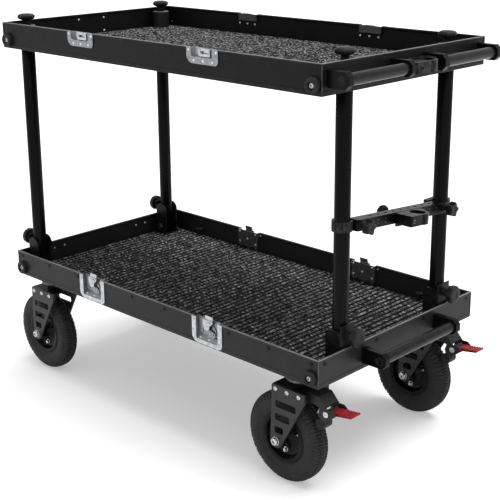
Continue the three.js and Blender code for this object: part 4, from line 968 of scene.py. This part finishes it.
def brake_arm():
    """Two cheeks with a sloping web between them."""
    top, knee = FORK_TOP, 65
    lobe = (0, 0.44), (0.54, 0.46), (1, 0.12), (-0.12, -0.83), (-0.75, -0.5), (-0.87, -0.2), (-0.67, 0.33)
    end = [(PEDAL_X + 24 * u, PEDAL_Z + 24 * v) for u, v in lobe]
    cheek = [(20, top), (knee, top), *end, (54, top - 20), (20, top - 20)]
    tip = (knee + (end[0][0] - knee) * 0.82, top + (end[0][1] - top) * 0.82)
    web = plate([[(40, top), (knee, top), tip, (tip[0], tip[1] - 4), (knee, top - 4), (40, top - 4)]], -18, 18)
    return joined(plate([cheek], -21, -17), plate([cheek], 17, 21)), web


BRAKE_PIN = cut(turned([(0, 1), (6.5, 1), (6.5, -1.6), (6, -2.3), (0, -2.5)], "y", 40),
                box(-7, 7, -4, -1.7, -0.8, 0.8))


def brake_lever():
    """Pedal, and apart from it the hub with its links, and the pad."""
    start, length, count = 7.5, 51, 60
    top, bottom = [], []
    for i in range(count + 1):
        x = start + length * i / count
        share = (x - start) / length
        notch = 1.6 * (0.5 + 0.5 * cos(tau * (x - 14) / 6.4)) ** 1.5 if 16 < x < 55.5 else 0.0
        tip = 1.4 * max(0.0, (x - 56.7) / 1.8) ** 2
        top.append((x, 5.4 + 6.6 * share - notch - tip))
        bottom.append((x, -2.6 + 9.4 * share ** 0.9 + tip))
    pedal = plate([bottom + top[::-1]], -14, 14)
    points = [(x, y * (0.78 + 0.22 * max(0.0, min(1, (x - start) / 12))), z) for x, y, z in pedal[0]]
    hub = turned(mirrored([(0, -14), (7.1, -14), (7.5, -13.6)]), "y", 32)
    pad = turned(mirrored([(0, -14), (4, -14), (4.4, -13.6), (10.8, -13.6), (12, -12.4)]), "y")
    gap, pad_r = 2, 12
    pad_x, _, pad_z = spin("y", TYRE_R + gap + pad_r, radians(33), 0)
    pad_x, pad_z = pad_x - TRAIL - PEDAL_X, AXLE_Z + pad_z - PEDAL_Z
    reach = hypot(pad_x, pad_z)
    u, v = -pad_z / reach * 4.5, pad_x / reach * 4.5
    links = [plate([[(u, v), (pad_x + u, pad_z + v), (pad_x - u, pad_z - v), (-u, -v)]], y, y + 4) for y in (-13, 9)]
    return (points, pedal[1]), joined(hub, *links), moved(pad, shift(pad_x, 0, pad_z))


FORK_LOOPS = fork_plate()
CHEEKS, BRAKE_WEB = brake_arm()
PEDAL, LEVER, PAD = brake_lever()
for name, (x, y) in CASTERS.items():
    caster = shift(x, y)
    wheel = caster @ shift(-TRAIL, 0, AXLE_Z)
    braked = x > 0
    fork, rolling = f"fork_{name}", f"wheel_{name}"
    piece(f"caster_sheet_{name}", CASTER_SHEET, "base", bracket_coat, caster, 0.6,
          replaces=[f"caster_plate_{name}"])
    piece(f"caster_bearing_{name}", BEARING, "base", dark_zinc, caster)
    piece(f"caster_nuts_{name}", NUTS, "base", dark_zinc, caster, 0.3)
    inner = shift(-copysign(43, x), copysign(29, y))
    piece(f"tee_pin_{name}", TEE, "base", knob_plastic, caster @ inner)
    block = plate([rounded(-45, 43, -33.5, 33.5, 2)], BLOCK_BOTTOM, FORK_TOP - 0.3, "z")
    if not braked:
        block = cut(block, box(6, 50, -27, 40, BLOCK_BOTTOM - 1, FORK_TOP - 5))
    piece(f"fork_head_{name}", joined(block, NECK, KINGPIN), fork, bracket_coat, caster, 0.5,
          replaces=[fork])
    for side, faces in (("near", (-38, -33)), ("far", (33, 38))):
        piece(f"fork_plate_{side}_{name}", plate(FORK_LOOPS, *faces), fork, steel_coat, caster, 0.6)
    outsides = list(zip(pair(0, 38, 0), (1, -1)))
    screws = [outside @ shift(px * flip, 0, FORK_TOP - 8.5) for outside, flip in outsides for px in (-34, -3, 28)]
    axles = [outside @ shift(-TRAIL * flip, 0, AXLE_Z) for outside, flip in outsides]
    piece(f"fork_screws_{name}", repeated(SLOTTED, screws), fork, bright, caster)
    piece(f"axle_{name}", joined(SHAFT, repeated(AXLE, axles)), fork, bright, caster)
    piece(f"tyre_body_{name}", TYRE, rolling, rubber, wheel, replaces=[f"tyre_{name}"], sharp=28)
    piece(f"rim_body_{name}", RIM, rolling, rim_gloss, wheel, replaces=[f"rim_{name}"])
    piece(f"rim_bolts_{name}", RIM_BOLTS, rolling, bright, wheel, 0.25)
    piece(f"valve_{name}", VALVE, rolling, cap_plastic, wheel @ turn(-30, "Y") @ shift(38, -4, 0))
    if braked:
        piece(f"brake_cheeks_{name}", CHEEKS, fork, arm_coat, caster, 0.5)
        piece(f"brake_web_{name}", BRAKE_WEB, fork, arm_coat, caster, 0.5)
        lever = caster @ shift(PEDAL_X, 0, PEDAL_Z)
        pins = repeated(BRAKE_PIN, pair(PEDAL_X, 21, PEDAL_Z))
        piece(f"brake_pins_{name}", pins, fork, bright, caster)
        body = f"brake_lever_{name}"
        piece(f"pedal_{name}", PEDAL, body, red_enamel, lever, 0.6, replaces=[body])
        piece(f"brake_link_{name}", LEVER, body, arm_coat, lever, 0.4)
        piece(f"brake_pad_{name}", PAD, body, bumper_rubber, lever)


# ---- carried-over CAD nodes

for name in ("lower_floor", "upper_floor"):
    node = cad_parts[name]
    node.data.materials.clear()
    node.data.materials.append(floor_coat)


# ---- stage, light and camera

floor_mesh = bpy.data.meshes.new("studio_floor")
floor_mesh.from_pydata([(-30, -30, 0), (30, -30, 0), (30, 30, 0), (-30, 30, 0)], [], [(0, 1, 2, 3)])
studio_floor = added("studio_floor", floor_mesh)
paper = Finish("paper", grey(0.84), 0.9, specular=0.1)
paper.colour(paper.ramp(paper.noise(0.6, 2), (0.2, 0.83), (0.8, 0.85)))
paper.set("Emission Color", (1, 1, 1, 1))
paper.set("Emission Strength", paper.math("MULTIPLY", paper.seen(), 0.33))
floor_mesh.materials.append(paper.material)

scene = bpy.context.scene
world = scene.world = bpy.data.worlds.new("studio")
world.use_nodes = True
sky = Nodes(world.node_tree)
background = sky.tree.nodes["Background"].inputs
sky.link((1, 1, 1, 1), background["Color"])
sky.link(sky.node("MapRange", Value=sky.seen(), To_Min=0.6, To_Max=1).outputs[0], background["Strength"])

key = bpy.data.lights.new("key", "SUN")
key.energy = 2.6
key.angle = radians(42)
added("key", key).rotation_euler = Vector((0.22, 0.16, 1)).to_track_quat("Z", "Y").to_euler()

# The camera: its focal length is in pixels of a picture 500 wide
FOCAL, SENSOR = 1090.6, 36.0
EYE_X, EYE_Y, EYE_UP = 1749.0, -1734.8, 921.6  # up from the lower deck
azimuth, elevation, roll = radians(44.174), radians(16.16), radians(-0.36)
optics = bpy.data.cameras.new("camera")
optics.sensor_fit = "HORIZONTAL"
optics.sensor_width = SENSOR
optics.lens = FOCAL / 500 * SENSOR
optics.shift_y = -0.08
camera = added("camera", optics)
camera.location = (EYE_X * MM + MIDDLE_X, EYE_Y * MM, (EYE_UP + LOWER) * MM)
back = Vector((sin(azimuth) * cos(elevation), -cos(azimuth) * cos(elevation), sin(elevation)))
right = Vector((0, 0, 1)).cross(back).normalized()
up = back.cross(right)
side_axis = right * cos(roll) + up * sin(roll)
top_axis = up * cos(roll) - right * sin(roll)
camera.rotation_euler = Matrix((side_axis, top_axis, back)).transposed().to_euler()
scene.camera = camera
scene.view_settings.view_transform = "Standard"
